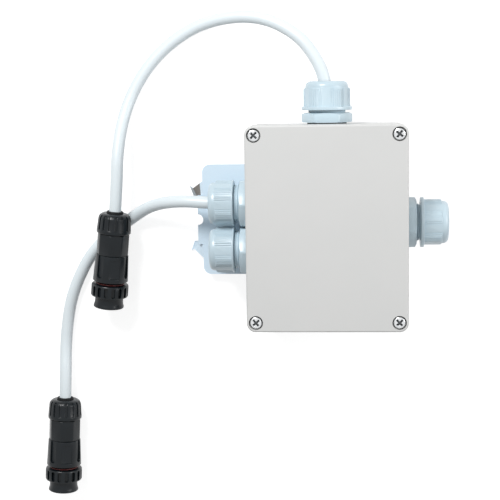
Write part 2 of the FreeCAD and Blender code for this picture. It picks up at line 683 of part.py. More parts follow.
def terminal_block():
    """The moulded block: stepped shoulders, barriers between the poles, entries, wells and clamp chambers."""
    bottom = FLOOR + BLOCK_STAND
    low = BLOCK_Y - BLOCK_DEPTH / 2
    left = BLOCK_X - BLOCK_WIDTH / 2
    top = bottom + BLOCK_HEIGHT
    foot = BLOCK_HEIGHT - BLOCK_STEP_HEIGHT
    block = Part.makeBox(BLOCK_WIDTH, BLOCK_DEPTH, foot, Vector(left, low, bottom))
    crown = Part.makeBox(BLOCK_WIDTH, BLOCK_DEPTH - BLOCK_STEP, BLOCK_STEP_HEIGHT,
                         Vector(left, low + BLOCK_STEP / 2, bottom + foot))
    cuts = []
    for pole in range(BLOCK_POLES):
        x = pole_x(pole)
        entry = Vector(x, low, ENTRY_Z)
        cuts.append(Part.makeCylinder(ENTRY_RADIUS, BLOCK_DEPTH, entry, Vector(0, 1, 0)))
        half = CLAMP_WIDTH / 2 + CLAMP_GAP
        depth = CLAMP_DEPTH / 2 + CLAMP_GAP
        cuts.append(Part.makeBox(2 * half, 2 * depth, CLAMP_HEIGHT + CLAMP_GAP,
                                 Vector(x - half, BLOCK_Y - depth, CLAMP_BOTTOM)))
        for side in (-1, 1):
            place = Vector(x, BLOCK_Y + side * CLAMP_SCREW_OFFSET, 0)
            cuts.append(cylinder(WELL_RADIUS, CLAMP_BOTTOM + CLAMP_HEIGHT, top, place))
    for gap in range(BLOCK_POLES - 1):
        x = (pole_x(gap) + pole_x(gap + 1)) / 2
        place = Vector(x, BLOCK_Y, 0)
        cuts.append(cylinder(FIXING_RADIUS + THREAD_GAP, bottom, top, place))
        cuts.append(cylinder(FIXING_HEAD_RADIUS + THREAD_GAP, bottom + BLOCK_STEP, top, place))
        for side in (-1, 1):
            y = BLOCK_Y + side * (BLOCK_DEPTH - BLOCK_STEP) / 2
            corner = Vector(x - BLOCK_BARRIER / 2, y - BLOCK_STEP / 2, bottom)
            cuts.append(Part.makeBox(BLOCK_BARRIER, BLOCK_STEP, BLOCK_HEIGHT, corner))
    return block.fuse(crown).cut(cuts)


def terminal_clamps():
    """The brass clamp of each pole, bored for the cores and tapped for its two screws."""
    clamps = []
    for pole in range(BLOCK_POLES):
        x = pole_x(pole)
        corner = Vector(x - CLAMP_WIDTH / 2, BLOCK_Y - CLAMP_DEPTH / 2, CLAMP_BOTTOM)
        clamp = Part.makeBox(CLAMP_WIDTH, CLAMP_DEPTH, CLAMP_HEIGHT, corner)
        entry = Vector(x, corner.y, ENTRY_Z)
        cuts = [Part.makeCylinder(CLAMP_BORE_RADIUS, CLAMP_DEPTH, entry, Vector(0, 1, 0))]
        for side in (-1, 1):
            place = Vector(x, BLOCK_Y + side * CLAMP_SCREW_OFFSET, 0)
            cuts.append(cylinder(CLAMP_SCREW_RADIUS + CLAMP_GAP, ENTRY_Z, CLAMP_BOTTOM + CLAMP_HEIGHT, place))
        clamps.append(clamp.cut(cuts))
    return Part.Compound(clamps)


def terminal_screws():
    """The slotted screws that press on the cores."""
    start = ENTRY_Z + CORE_RADIUS + CLAMP_GAP
    end = start + CLAMP_SCREW_HEIGHT
    screws = []
    for pole in range(BLOCK_POLES):
        for side in (-1, 1):
            place = Vector(pole_x(pole), BLOCK_Y + side * CLAMP_SCREW_OFFSET, 0)
            corner = Vector(-2 * CLAMP_SCREW_RADIUS, -CLAMP_SLOT / 2, end - CLAMP_SLOT * 2)
            slot = Part.makeBox(4 * CLAMP_SCREW_RADIUS, CLAMP_SLOT, CLAMP_SLOT * 2, place + corner)
            screws.append(cylinder(CLAMP_SCREW_RADIUS, start, end, place).cut(slot))
    return Part.Compound(screws)


def terminal_fixings():
    """The two screws that hold the block to the stands in the floor."""
    seat = FLOOR + BLOCK_STAND + BLOCK_STEP
    screws = []
    for gap in range(BLOCK_POLES - 1):
        place = Vector((pole_x(gap) + pole_x(gap + 1)) / 2, BLOCK_Y, 0)
        head = cylinder(FIXING_HEAD_RADIUS, seat, seat + FIXING_HEAD_HEIGHT, place)
        shank = cylinder(FIXING_RADIUS - CLAMP_GAP, FLOOR + BLOCK_STAND - FIXING_DEPTH / 2, seat, place)
        corner = Vector(-2 * FIXING_HEAD_RADIUS, -CLAMP_SLOT / 2, seat + FIXING_HEAD_HEIGHT - CLAMP_SLOT)
        slot = Part.makeBox(4 * FIXING_HEAD_RADIUS, CLAMP_SLOT, CLAMP_SLOT, place + corner)
        screws.append(head.fuse(shank).cut(slot))
    return Part.Compound(screws)


def core_offsets():
    """Where the three cores stand in the jacket's end: sideways and upwards."""
    return ((CORE_SPREAD, -CORE_DROP), (0, CORE_RISE), (-CORE_SPREAD, -CORE_DROP))


def top_core(pole):
    """A core from the upper cable down to its pole."""
    side, rise = core_offsets()[BLOCK_POLES - 1 - pole]
    end = BASE_HALF_Y - JACKET_END
    face = BLOCK_Y + BLOCK_DEPTH / 2
    x = GLAND_TOP_X + side
    return [Vector(x, end, GLAND_Z + rise), Vector(x, end - CORE_STRAIGHT, GLAND_Z + rise),
            Vector(pole_x(pole), face + CORE_LEAD, ENTRY_Z), Vector(pole_x(pole), face - BLOCK_STEP, ENTRY_Z)]


def left_core(pole):
    """A core from the left cable, in a loop round the end of the block, to its pole from below."""
    side, rise = core_offsets()[pole]
    end = left_jacket_x()
    y = GLAND_LEFT_MIDDLE_Y + GLAND_PAIR_SPACING / 2 + side
    face = BLOCK_Y - BLOCK_DEPTH / 2
    outer = pole * CORE_LOOP_STEP
    turn = BLOCK_X - BLOCK_WIDTH / 2 - CORE_SIDE - outer
    low = face - CORE_LOOP - outer
    return [Vector(end, y, GLAND_Z + rise), Vector(turn, y, GLAND_Z + rise), Vector(turn, low, ENTRY_Z),
            Vector(pole_x(pole), low, ENTRY_Z), Vector(pole_x(pole), face + BLOCK_STEP, ENTRY_Z)]


def grommet():
    """The rubber sleeve round the cable, squeezed out a little behind the cap nut."""
    bore = CABLE_RADIUS + CABLE_SEAL_GAP
    return turned([
        (0, CABLE_SOCKET), (bore, CABLE_SOCKET), (bore, 0), (GROMMET_TAIL_RADIUS - GROMMET_EDGE, 0),
        (GROMMET_TAIL_RADIUS, GROMMET_EDGE), (GROMMET_TAIL_RADIUS, CONE_START),
        (GROMMET_RADIUS, CONE_START + GROMMET_CONE_LENGTH), (GROMMET_RADIUS, GROMMET_LENGTH),
        (0, GROMMET_LENGTH),
    ])


def cap_nut():
    """The ribbed cap nut: a round shoulder, ribs with slots between them and a plain rim."""
    rim = CAP_END - CAP_RIM
    nut = turned([(0, CAP_START), (CAP_SHOULDER_RADIUS, CAP_START), (CAP_RADIUS, rim), (CAP_RADIUS, CAP_END),
                  (0, CAP_END)])
    nut = rounded_at(nut, CAP_START, CAP_DOME)
    low = CAP_START + CAP_DOME / 2
    slot = Part.makeBox(CAP_RADIUS, CAP_SLOT_WIDTH, rim - low,
                        Vector(CAP_SHOULDER_RADIUS - CAP_SLOT_DEPTH, -CAP_SLOT_WIDTH / 2, low))
    nut = nut.cut(around(slot, CAP_RIBS))
    mouth = GROMMET_TAIL_RADIUS + CAP_CLEARANCE
    inner = CAP_RADIUS - CAP_WALL
    hollow = turned([(0, CAP_START), (mouth, CAP_START), (mouth, CONE_START),
                     (GROMMET_RADIUS + CAP_CLEARANCE, CONE_START + GROMMET_CONE_LENGTH),
                     (inner, CONE_START + CAP_ROOM), (inner, CAP_END), (0, CAP_END)])
    return nut.cut(hollow)


def groove_cutter(radius, width, depth, start, end):
    """A rounded slot cutter that stands on a round surface and points along +X."""
    half = width / 2
    x = radius - depth
    first, last = start + half, end - half
    edges = [Part.makeLine(Vector(x, -half, first), Vector(x, -half, last)),
             Part.Arc(Vector(x, -half, last), Vector(x, 0, end), Vector(x, half, last)).toShape(),
             Part.makeLine(Vector(x, half, last), Vector(x, half, first)),
             Part.Arc(Vector(x, half, first), Vector(x, 0, start), Vector(x, -half, first)).toShape()]
    return Part.Face(Part.Wire(edges)).extrude(Vector(radius, 0, 0))


def connector_body():
    """The moulded shell: a threaded tail, a collar with flats, a flared grip with grooves and a spigot."""
    tail = CAP_RADIUS - CAP_WALL - CAP_CLEARANCE
    start = CONE_START + CAP_ROOM + TAIL_GAP
    shoulder = SHELL_END + SHELL_SHOULDER
    collar = polygon_prism(COLLAR_FLATS, 8, CAP_END + COLLAR_GAP, COLLAR_END)
    collar = collar.common(cylinder(COLLAR_RADIUS, CAP_END + COLLAR_GAP, COLLAR_END))
    shell = turned([
        (0, start), (tail, start), (tail, COLLAR_END), (SHELL_START_RADIUS - SHELL_EDGE, COLLAR_END),
        (SHELL_START_RADIUS, COLLAR_END + SHELL_EDGE), (SHELL_END_RADIUS, SHELL_END),
        (SHOULDER_RADIUS, shoulder), (SPIGOT_RADIUS, shoulder), (SPIGOT_RADIUS, SPIGOT_END),
        (0, SPIGOT_END),
    ])
    first, last = GRIP_GROOVE_START, GRIP_GROOVE_END
    grip = groove_cutter(SHELL_START_RADIUS, GRIP_GROOVE_WIDTH, GRIP_GROOVE_DEPTH, first, last)
    panel = Part.makeBox(SHELL_END_RADIUS, PANEL_WIDTH, PANEL_END - PANEL_START,
                         Vector(SHELL_START_RADIUS - PANEL_DEPTH, -PANEL_WIDTH / 2, PANEL_START))
    cuts = around(panel, 2)
    for angle in (-GRIP_GROOVE_ANGLE, GRIP_GROOVE_ANGLE):
        cuts += around(grip, 2, angle)
    bores = [cylinder(GROMMET_RADIUS + CAP_CLEARANCE, start, GROMMET_LENGTH),
             cylinder(SPIGOT_BORE_RADIUS, INSERT_START, SPIGOT_END)]
    return shell.cut(cuts).fuse(collar).cut(bores)


def connector_seal():
    """The thin red sealing ring between the shell and the coupling ring."""
    start = COUPLING_START - SEAL_RING_THICKNESS
    end = COUPLING_START - SEAL_RING_GAP
    inner = SPIGOT_RADIUS + SLEEVE_GAP
    face = SEAL_RING_RADIUS - SEAL_RING_EDGE
    return turned([(inner, start), (face, start), (SEAL_RING_RADIUS, start + SEAL_RING_EDGE),
                   (SEAL_RING_RADIUS, end - SEAL_RING_EDGE), (face, end), (inner, end)])


def coupling_ring():
    """The slotted ring and sleeve that turn on the spigot and lock the connector to its mate."""
    edge = COUPLING_EDGE
    inner = SPIGOT_RADIUS + SLEEVE_GAP
    rim = CONNECTOR_LENGTH - FRONT_RIM_LENGTH
    ring = turned([
        (inner, COUPLING_START), (COUPLING_RADIUS - edge, COUPLING_START),
        (COUPLING_RADIUS, COUPLING_START + edge), (COUPLING_RADIUS, COUPLING_END - edge),
        (COUPLING_RADIUS - edge, COUPLING_END), (FRONT_RADIUS, COUPLING_END),
        (FRONT_RADIUS, rim), (FRONT_RIM_RADIUS, rim + FRONT_RIM_EDGE),
        (FRONT_RIM_RADIUS, CONNECTOR_LENGTH - FRONT_RIM_EDGE),
        (FRONT_RIM_RADIUS - FRONT_RIM_EDGE, CONNECTOR_LENGTH), (inner, CONNECTOR_LENGTH),
    ])
    middle = (COUPLING_START + COUPLING_END) / 2
    half = COUPLING_SLOT_LENGTH / 2
    low, high = middle - half, middle + half
    slot = groove_cutter(COUPLING_RADIUS, COUPLING_SLOT_WIDTH, COUPLING_SLOT_DEPTH, low, high)
    return ring.cut(around(slot, COUPLING_SLOTS))


def contact_places():
    """Where the contacts stand in the carrier, as turns about its axis."""
    return [360.0 * k / CONTACT_COUNT + 90 for k in range(CONTACT_COUNT)]


def contact_carrier():
    """The moulded carrier that holds the contacts in the spigot."""
    carrier = cylinder(SPIGOT_BORE_RADIUS - CARRIER_GAP, INSERT_START, INSERT_END)
    hole = cylinder(CONTACT_RADIUS, INSERT_START, INSERT_END, Vector(CONTACT_CIRCLE, 0, 0))
    half = KEYWAY_WIDTH / 2
    key = Part.makeBox(KEYWAY_WIDTH, KEYWAY_WIDTH, INSERT_END - INSERT_START,
                       Vector(SPIGOT_BORE_RADIUS - CARRIER_GAP - half, -half, INSERT_START))
    holes = []
    for angle in contact_places():
        copy = hole.copy()
        copy.rotate(CENTRE, UP, angle)
        holes.append(copy)
    return carrier.cut(holes + [key])


def contacts():
    """The round pins, with a small lead-in at the tip."""
    end = INSERT_START + CONTACT_LENGTH
    tip = CONTACT_RADIUS / 2
    pin = turned([(0, INSERT_START), (CONTACT_RADIUS, INSERT_START), (CONTACT_RADIUS, end - tip), (tip, end),
                  (0, end)])
    pin.translate(Vector(CONTACT_CIRCLE, 0, 0))
    pins = []
    for angle in contact_places():
        copy = pin.copy()
        copy.rotate(CENTRE, UP, angle)
        pins.append(copy)
    return Part.Compound(pins)


def build_enclosure():
    """Writes the box, its seal and its fasteners."""
    write("enclosure_base", enclosure_base())
    write("enclosure_lid", enclosure_lid())
    write("lid_gasket", lid_gasket())
    for number, place in enumerate(SCREW_PLACES, 1):
        write("lid_screw_" + str(number), lid_screw(place))
    write("screw_inserts", screw_inserts())
    write("rail_plate", rail_plate())
    write("plate_screws", plate_screws())


def build_glands():
    """Writes the five pieces of each gland."""
    body, seal, washer, locknut = gland_body(), gland_seal(), gland_washer(), gland_locknut()
    for name, at, out, flange, gap, hex_turn, nut_turn in gland_places():
        write("gland_" + name + "_body", oriented(body, at, out, hex_turn))
        write("gland_" + name + "_nut", oriented(gland_nut(gap, flange), at, out, nut_turn))
        write("gland_" + name + "_seal", oriented(seal, at, out))
        write("gland_" + name + "_washer", oriented(washer, at, out))
        write("gland_" + name + "_locknut", oriented(locknut, at, out, hex_turn))


def build_terminals():
    """Writes the terminal block and the cores that it joins."""
    write("terminal_block", terminal_block())
    write("terminal_clamps", terminal_clamps())
    write("terminal_screws", terminal_screws())
    write("terminal_fixings", terminal_fixings())
    for pole, colour in enumerate(("brown", "blue", "earth")):
        write("top_core_" + colour, tube(top_core(pole), CORE_RADIUS, "top core " + colour))
        write("left_core_" + colour, tube(left_core(pole), CORE_RADIUS, "left core " + colour))


def build_cables():
    """Writes the two cables and the jackets inside their glands."""
    places = {name: (at, out) for name, at, out, _, _, _, _ in gland_places()}
    at, out = places["top"]
    write("jacket_top", cable_tail(at, out, TOP_ROUTE[0], JACKET_END))
    write("cable_top", cable(TOP_ROUTE, CONNECTORS["upper"], LAST_RUN["top"], "top cable"))
    at, out = places["left_upper"]
    write("jacket_left", cable_tail(at, out, LEFT_ROUTE[0], left_jacket_x() - at.x))
    write("cable_left", cable(LEFT_ROUTE, CONNECTORS["lower"], LAST_RUN["left"], "left cable"))


def build_connectors():
    """Writes the seven pieces of each connector."""
    pieces = {
        "grommet": grommet(),
        "cap_nut": cap_nut(),
        "body": connector_body(),
        "seal": connector_seal(),
        "coupling_ring": coupling_ring(),
        "carrier": contact_carrier(),
        "contacts": contacts(),
    }
    for name, spot in CONNECTORS.items():
        for piece, shape in pieces.items():
            posed = oriented(shape, spot["at"], connector_way(spot), spot["turn"])
            write("connector_" + name + "_" + piece, posed)


build_enclosure()
build_glands()
build_terminals()
build_cables()
build_connectors()
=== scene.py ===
"""Dresses a surface-mounted junction box with four cable glands, a clawed plate and two corded connectors.

Sizes are in millimetres in the classes of the box, glands and connectors, and in metres for the cables and
the studio. Turned pieces are made standing on +Z and then laid along the way that they point on the box.
"""

import logging
import math
from collections.abc import Callable
from dataclasses import dataclass, field
from enum import Enum

import bpy
from mathutils import Matrix, Vector


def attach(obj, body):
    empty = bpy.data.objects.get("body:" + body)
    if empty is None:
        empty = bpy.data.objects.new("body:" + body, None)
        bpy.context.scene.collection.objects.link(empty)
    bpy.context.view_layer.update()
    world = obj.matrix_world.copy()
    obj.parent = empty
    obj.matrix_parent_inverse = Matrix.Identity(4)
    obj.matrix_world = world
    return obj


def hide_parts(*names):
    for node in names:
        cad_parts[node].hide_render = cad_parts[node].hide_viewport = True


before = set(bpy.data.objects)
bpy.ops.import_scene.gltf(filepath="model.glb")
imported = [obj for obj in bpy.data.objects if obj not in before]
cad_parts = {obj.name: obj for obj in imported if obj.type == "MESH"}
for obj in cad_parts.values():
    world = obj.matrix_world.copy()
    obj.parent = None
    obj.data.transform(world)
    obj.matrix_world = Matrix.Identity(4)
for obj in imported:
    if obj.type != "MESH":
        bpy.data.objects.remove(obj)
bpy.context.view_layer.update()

MM = 0.001
SMOOTH_ANGLE = math.radians(32)
WHITE = (1, 1, 1, 1)
UP = Vector((0, 0, 1))
# Below this length, the level part of a unit vector gives no direction
NEARLY_UPRIGHT = 0.01
LOG = logging.getLogger("junction_box")

# How many sides round pieces have, from inner bores to the nuts
SMALL_SIDES = 72
ROUND_SIDES = 96
NUT_SIDES = 144
# A hexagon, turned so that a flat faces +X
HEX_SIDES = 6
HEX_TURN = 180 / HEX_SIDES
# How far a cutter stands out of the piece, in millimetres
CUT_ROOM = 1
# A face whose normal has this share along an axis faces that way
FACING = 0.9
# Round cutters with long sides: an even number of sides, turned so that no corner lies on the middle line
STADIUM_SIDES = 30
# Points nearer than this are one point
WELD_DISTANCE = 0.002 * MM

Ring = tuple[float, float]
Profile = tuple[Ring, ...]
Triple = tuple[float, float, float]
Test = Callable[[Vector, Vector], bool]


def linear(hex_colour: str, alpha: float = 1.0) -> tuple[float, float, float, float]:
    """Turns an sRGB hex colour into the linear colour that shaders take.

    Args:
        hex_colour: Six hex digits, with or without a leading hash.
        alpha: The fourth channel.

    Returns:
        Linear red, green, blue and alpha.
    """
    digits = hex_colour.lstrip("#")
    channels = []
    for start in (0, 2, 4):
        value = int(digits[start:start + 2], 16) / 255
        channels.append(value / 12.92 if value <= 0.04045 else ((value + 0.055) / 1.055) ** 2.4)
    return channels[0], channels[1], channels[2], alpha


def add_node(tree: bpy.types.NodeTree, kind: str, links: dict | None = None,
             **settings: object) -> bpy.types.Node:
    """Adds one node with its settings, values and incoming links.

    Args:
        tree: The node tree that gets the node.
        kind: The node's type name.
        links: Input names or numbers, each with an output socket to link or a value to set.
        settings: Attributes of the node itself.

    Returns:
        The new node.
    """
    node = tree.nodes.new(kind)
    for name, value in settings.items():
        setattr(node, name, value)
    for name, value in (links or {}).items():
        if isinstance(value, bpy.types.NodeSocket):
            tree.links.new(value, node.inputs[name])
        else:
            node.inputs[name].default_value = value
    return node


class Grain(Enum):
    """How the surface of a material was made, which sets the pattern that its bump and gloss follow."""

    MOULDED = "fine spark-eroded texture of a moulding tool"
    ROLLED = "long faint lines of rolled or drawn metal"
    TURNED = "rings left by a lathe"
    PLAIN = "smooth skin with slow waves"


GRAIN_SCALE = {Grain.ROLLED: (1.0, 0.04, 1.0), Grain.TURNED: (1.0, 1.0, 0.1)}
EVEN_SCALE = (1.0, 1.0, 1.0)


@dataclass(frozen=True)
class Finish:
    """One material: what it is, its colour and gloss, and the size of its surface pattern in millimetres.

    The low colour is painted shade: it lies between two heights in millimetres, on the side where y is
    greater than the given y.
    """

    name: str
    colour: str
    shade: str
    roughness: float
    gloss_spread: float = 0.05
    metallic: float = 0.0
    ior: float = 1.5
    grain: Grain = Grain.MOULDED
    grain_mm: float = 0.5
    relief_mm: float = 0.02
    patch_mm: float = 25.0
    specular: float = 0.5
    subsurface: float = 0.0
    # Painted shade: a darker colour, where it lies between two heights, on which side of a y, and how soft
    # its borders are
    painted_shade_colour: str = ""
    painted_shade_mm: tuple[float, float] = (0.0, 0.0)
    painted_shade_from_y: float = -1000.0
    painted_shade_edge: float = 0.25
    fine_detail: float = 3.0
    fine_roughness: float = 0.55
    slow_detail: float = 4.0
    slow_roughness: float = 0.5
    bump_strength: float = 0.6
    metal_from: float = 0.5
    glow_depths: Triple = (1.0, 0.9, 0.8)
    glow_mm: float = 1.5

    def build(self) -> bpy.types.Material:
        """Makes the material once and gives the same one back after that.

        Returns:
            The material with its nodes.
        """
        made = bpy.data.materials.get(self.name)
        if made:
            return made
        material = bpy.data.materials.new(self.name)
        material.use_nodes = True
        tree = material.node_tree
        shader = tree.nodes["Principled BSDF"]
        place = add_node(tree, "ShaderNodeTexCoord").outputs["Object"]
        stretch = GRAIN_SCALE.get(self.grain, EVEN_SCALE)
        turned = add_node(tree, "ShaderNodeMapping", {"Vector": place, "Scale": stretch}).outputs["Vector"]
        fine = add_node(tree, "ShaderNodeTexNoise", {
            "Vector": turned, "Scale": 1 / (self.grain_mm * MM), "Detail": self.fine_detail,
            "Roughness": self.fine_roughness})
        slow = add_node(tree, "ShaderNodeTexNoise", {
            "Vector": place, "Scale": 1 / (self.patch_mm * MM), "Detail": self.slow_detail,
            "Roughness": self.slow_roughness})
        tone = add_node(tree, "ShaderNodeMix", {
            "Factor": slow.outputs["Fac"], "A": linear(self.colour), "B": linear(self.shade)},
            data_type="RGBA").outputs[2]
        # Painted shade, where a finish has one: a darker colour laid into the base colour between two heights
        if self.painted_shade_colour:
            tone = self.painted_shade_band(tree, place, tone)
        tree.links.new(tone, shader.inputs["Base Color"])
        gloss = add_node(tree, "ShaderNodeMapRange", {
            "Value": fine.outputs["Fac"], "To Min": self.roughness - self.gloss_spread,
            "To Max": self.roughness + self.gloss_spread})
        tree.links.new(gloss.outputs["Result"], shader.inputs["Roughness"])
        if self.relief_mm > 0:
            bump = add_node(tree, "ShaderNodeBump", {
                "Height": fine.outputs["Fac"], "Strength": self.bump_strength,
                "Distance": self.relief_mm * MM})
            tree.links.new(bump.outputs["Normal"], shader.inputs["Normal"])
        shader.inputs["Metallic"].default_value = self.metallic
        if self.metallic < self.metal_from:
            shader.inputs["IOR"].default_value = self.ior
        shader.inputs["Specular IOR Level"].default_value = self.specular
        if self.subsurface:
            shader.inputs["Subsurface Weight"].default_value = self.subsurface
            shader.inputs["Subsurface Radius"].default_value = self.glow_depths
            shader.inputs["Subsurface Scale"].default_value = self.glow_mm * MM
        return material

    def painted_shade_band(self, tree: bpy.types.NodeTree, place: bpy.types.NodeSocket,
                 tone: bpy.types.NodeSocket) -> bpy.types.NodeSocket:
        """Mixes in the painted shade colour between two heights: painted shade on a bent claw's flank, and
        painted shade in the recess of a screw.

        Args:
            tree: The material's node tree.
            place: Object coordinates.
            tone: The colour everywhere else.

        Returns:
            The mixed colour.
        """
        axes = add_node(tree, "ShaderNodeSeparateXYZ", {"Vector": place}).outputs
        low, high = (value * MM for value in self.painted_shade_mm)
        soft = self.painted_shade_edge * MM
        side = self.painted_shade_from_y * MM
        above = add_node(tree, "ShaderNodeMapRange", {
            "Value": axes["Z"], "From Min": low - soft, "From Max": low + soft}).outputs["Result"]
        below = add_node(tree, "ShaderNodeMapRange", {
            "Value": axes["Z"], "From Min": high + soft, "From Max": high - soft}).outputs["Result"]
        upper = add_node(tree, "ShaderNodeMapRange", {
            "Value": axes["Y"], "From Min": side - soft, "From Max": side + soft}).outputs["Result"]
        band = add_node(tree, "ShaderNodeMath", {0: above, 1: below}, operation="MULTIPLY").outputs["Value"]
        share = add_node(tree, "ShaderNodeMath", {0: band, 1: upper}, operation="MULTIPLY").outputs["Value"]
        mixed = add_node(tree, "ShaderNodeMix", {
            "Factor": share, "A": tone, "B": linear(self.painted_shade_colour)}, data_type="RGBA")
        return mixed.outputs[2]


# Injection-moulded ABS of the box: opaque light grey with a satin, finely eroded skin
BOX_ABS = Finish("moulded_grey_abs", "#D2D2D1", "#CDCECD", 0.42, 0.04, grain_mm=0.45, relief_mm=0.012)
# Polyamide of the glands: bluer than the lid, a little waxy, so that edges glow
GLAND_NYLON = Finish("moulded_bluish_nylon", "#C3D5DE", "#BCCFD9", 0.3, 0.05, grain=Grain.PLAIN,
                     grain_mm=2.0, relief_mm=0.01, subsurface=0.04)
# Rubber washers: black with a dusty bloom that breaks up the gloss
BLACK_RUBBER = Finish("moulded_black_rubber", "#0E0F10", "#161719", 0.6, 0.1, grain_mm=0.4, relief_mm=0.02,
                      specular=0.2)
# Rubber sleeves inside the glands and the lid's seal
GREY_RUBBER = Finish("moulded_grey_rubber", "#55585B", "#4C4F52", 0.65, 0.08, grain_mm=0.5, relief_mm=0.02)
# Red silicone of the connector's face seal, its red darkened as painted shade because it lies in a gap
RED_SILICONE_DARKENED_AS_PAINTED_SHADE = Finish("moulded_red_silicone", "#5C1613", "#4C1210", 0.45, 0.06, grain=Grain.PLAIN,
                      grain_mm=1.0, relief_mm=0.01)
# Glass-filled nylon of the connectors: black, eroded skin with a broad soft sheen
BLACK_NYLON = Finish("moulded_black_nylon", "#0A0F13", "#10181D", 0.3, 0.08, grain_mm=0.35, relief_mm=0.02,
                     patch_mm=8.0, specular=0.3)
# Zinc-plated steel of the screws: bright with turning marks
ZINC_STEEL = Finish("zinc_plated_steel", "#C9C8C2", "#B9B8B2", 0.28, 0.1, metallic=1.0, grain=Grain.TURNED,
                    grain_mm=0.5, relief_mm=0.01, patch_mm=3.0)
# The same steel on the lid screws, with painted shade darkening the recess of the head inside
SCREW_STEEL_WITH_PAINTED_RECESS_SHADE = Finish("polished_screw_steel", "#E9EBEC", "#DADCDE", 0.24, 0.08, metallic=1.0,
                     grain=Grain.TURNED, grain_mm=0.5, relief_mm=0.01, patch_mm=3.0,
                     painted_shade_colour="#5C5F61", painted_shade_mm=(60.4, 61.9))
# Cold-rolled zinc sheet of the plate: bluish and satin with faint rolling lines; painted shade darkens the
# bent flank of the upper claw, where y is above zero
PLATE_ZINC_WITH_PAINTED_CLAW_SHADE = Finish("rolled_zinc_sheet", "#DCEDF9", "#D5E8F6", 0.4, 0.06, grain=Grain.ROLLED,
                    grain_mm=0.4, relief_mm=0.008, patch_mm=18.0, painted_shade_colour="#77726D", painted_shade_mm=(1.4, 6.2),
                    painted_shade_from_y=0.0)
# Machined brass of the inserts, clamps and contacts
BRASS = Finish("machined_brass", "#D2B26A", "#C2A158", 0.3, 0.08, metallic=1.0, grain=Grain.TURNED,
               grain_mm=0.4, relief_mm=0.01, patch_mm=4.0)
# Polyamide of the terminal block, cream white
BLOCK_NYLON = Finish("moulded_cream_nylon", "#E9E7DC", "#E2DFD2", 0.38, 0.05, grain=Grain.PLAIN,
                     grain_mm=1.5, relief_mm=0.01, subsurface=0.05)
# Extruded PVC of the cable jackets: off-white, soft gloss, slow waves along the jacket
JACKET_PVC = Finish("extruded_white_pvc", "#E3EBEF", "#DCE6EA", 0.34, 0.03, grain=Grain.PLAIN,
                    grain_mm=6.0, relief_mm=0.004, patch_mm=30.0, subsurface=0.04)
# Insulation of the three cores; the third is striped green and yellow in patches
CORE_COLOURS = {
    "brown": Finish("extruded_brown_pvc", "#5A3722", "#52311D", 0.35, 0.04, grain=Grain.PLAIN,
                    relief_mm=0.01),
    "blue": Finish("extruded_blue_pvc", "#2E63A8", "#295A9C", 0.35, 0.04, grain=Grain.PLAIN,
                   relief_mm=0.01),
    "earth": Finish("extruded_green_pvc", "#7F9A2B", "#C9C23A", 0.35, 0.04, grain=Grain.PLAIN,
                    relief_mm=0.01, patch_mm=3.0),
}


def only(piece: bpy.types.Object) -> None:
    """Makes a piece the one selected and active object.

    Args:
        piece: The object.
    """
    bpy.ops.object.select_all(action="DESELECT")
    piece.select_set(True)
    bpy.context.view_layer.objects.active = piece


def edge(radius: float, height: float, profile: Profile) -> list[Ring]:
    """Rings of a rounded edge that lies in and down from a corner.

    Args:
        radius: The corner's radius.
        height: The corner's height.
        profile: How far in and how far down each ring lies.

    Returns:
        Radius and height of each ring.
    """
    return [(radius - inset, height - drop) for inset, drop in profile]


def lathe(name: str, profile: list[Ring], segments: int, hollow: bool = False,
          turn: float = 0.0) -> bpy.types.Object:
    """Turns a piece about +Z: a circle is extruded and scaled from ring to ring.

    Args:
        name: The piece's name.
        profile: Radius and height of each ring, in millimetres.
        segments: How many sides the circle has.
        hollow: Whether the last ring is bridged to the first, or else both ends are closed.
        turn: The angle of the first corner from +X, in degrees.

    Returns:
        The new mesh object.
    """
    bpy.ops.object.select_all(action="DESELECT")
    bpy.context.tool_settings.mesh_select_mode = (True, False, False)
    radius, height = profile[0]
    bpy.ops.mesh.primitive_circle_add(vertices=segments, radius=radius * MM, fill_type="NOTHING")
    piece = bpy.context.object
    piece.name = name
    first = piece.data.vertices[0].co
    piece.data.transform(Matrix.Rotation(math.radians(turn) - math.atan2(first.y, first.x), 4, "Z"))
    piece.data.transform(Matrix.Translation((0, 0, height * MM)))
    bpy.ops.object.mode_set(mode="EDIT")
    bpy.ops.mesh.select_all(action="SELECT")
    for next_radius, next_height in profile[1:]:
        rise = (0, 0, (next_height - height) * MM)
        bpy.ops.mesh.extrude_region_move(TRANSFORM_OT_translate={"value": rise})
        share = next_radius / radius
        bpy.ops.transform.resize(value=(share, share, 1), center_override=(0, 0, next_height * MM))
        radius, height = next_radius, next_height
    bpy.ops.mesh.select_all(action="SELECT")
    if hollow:
        bpy.ops.mesh.region_to_loop()
        bpy.ops.mesh.bridge_edge_loops()
    else:
        bpy.ops.mesh.fill_holes(sides=0)
    bpy.ops.mesh.select_all(action="SELECT")
    bpy.ops.mesh.normals_make_consistent(inside=False)
    bpy.ops.object.mode_set(mode="OBJECT")
    return piece


def slab(name: str, size: Triple, at: Triple, taper: float = 1.0) -> bpy.types.Object:
    """A box with its lower face scaled by a taper, used to cut with.

    Args:
        name: The piece's name.
        size: Lengths along X, Y and Z, in millimetres.
        at: The middle of the box, in millimetres.
        taper: The scale of the lower face.

    Returns:
        The new mesh object.
    """
    bpy.ops.object.select_all(action="DESELECT")
    bpy.context.tool_settings.mesh_select_mode = (False, False, True)
    bpy.ops.mesh.primitive_cube_add(size=1)
    piece = bpy.context.object
    piece.name = name
    piece.data.transform(Matrix.Translation(Vector(at) * MM) @ Matrix.Diagonal((*(Vector(size) * MM), 1)))
    pick(piece, lambda middle, normal: normal.z < -FACING)
    bpy.ops.object.mode_set(mode="EDIT")
    middle = (at[0] * MM, at[1] * MM, (at[2] - size[2] / 2) * MM)
    bpy.ops.transform.resize(value=(taper, taper, 1), center_override=middle)
    bpy.ops.object.mode_set(mode="OBJECT")
    return piece


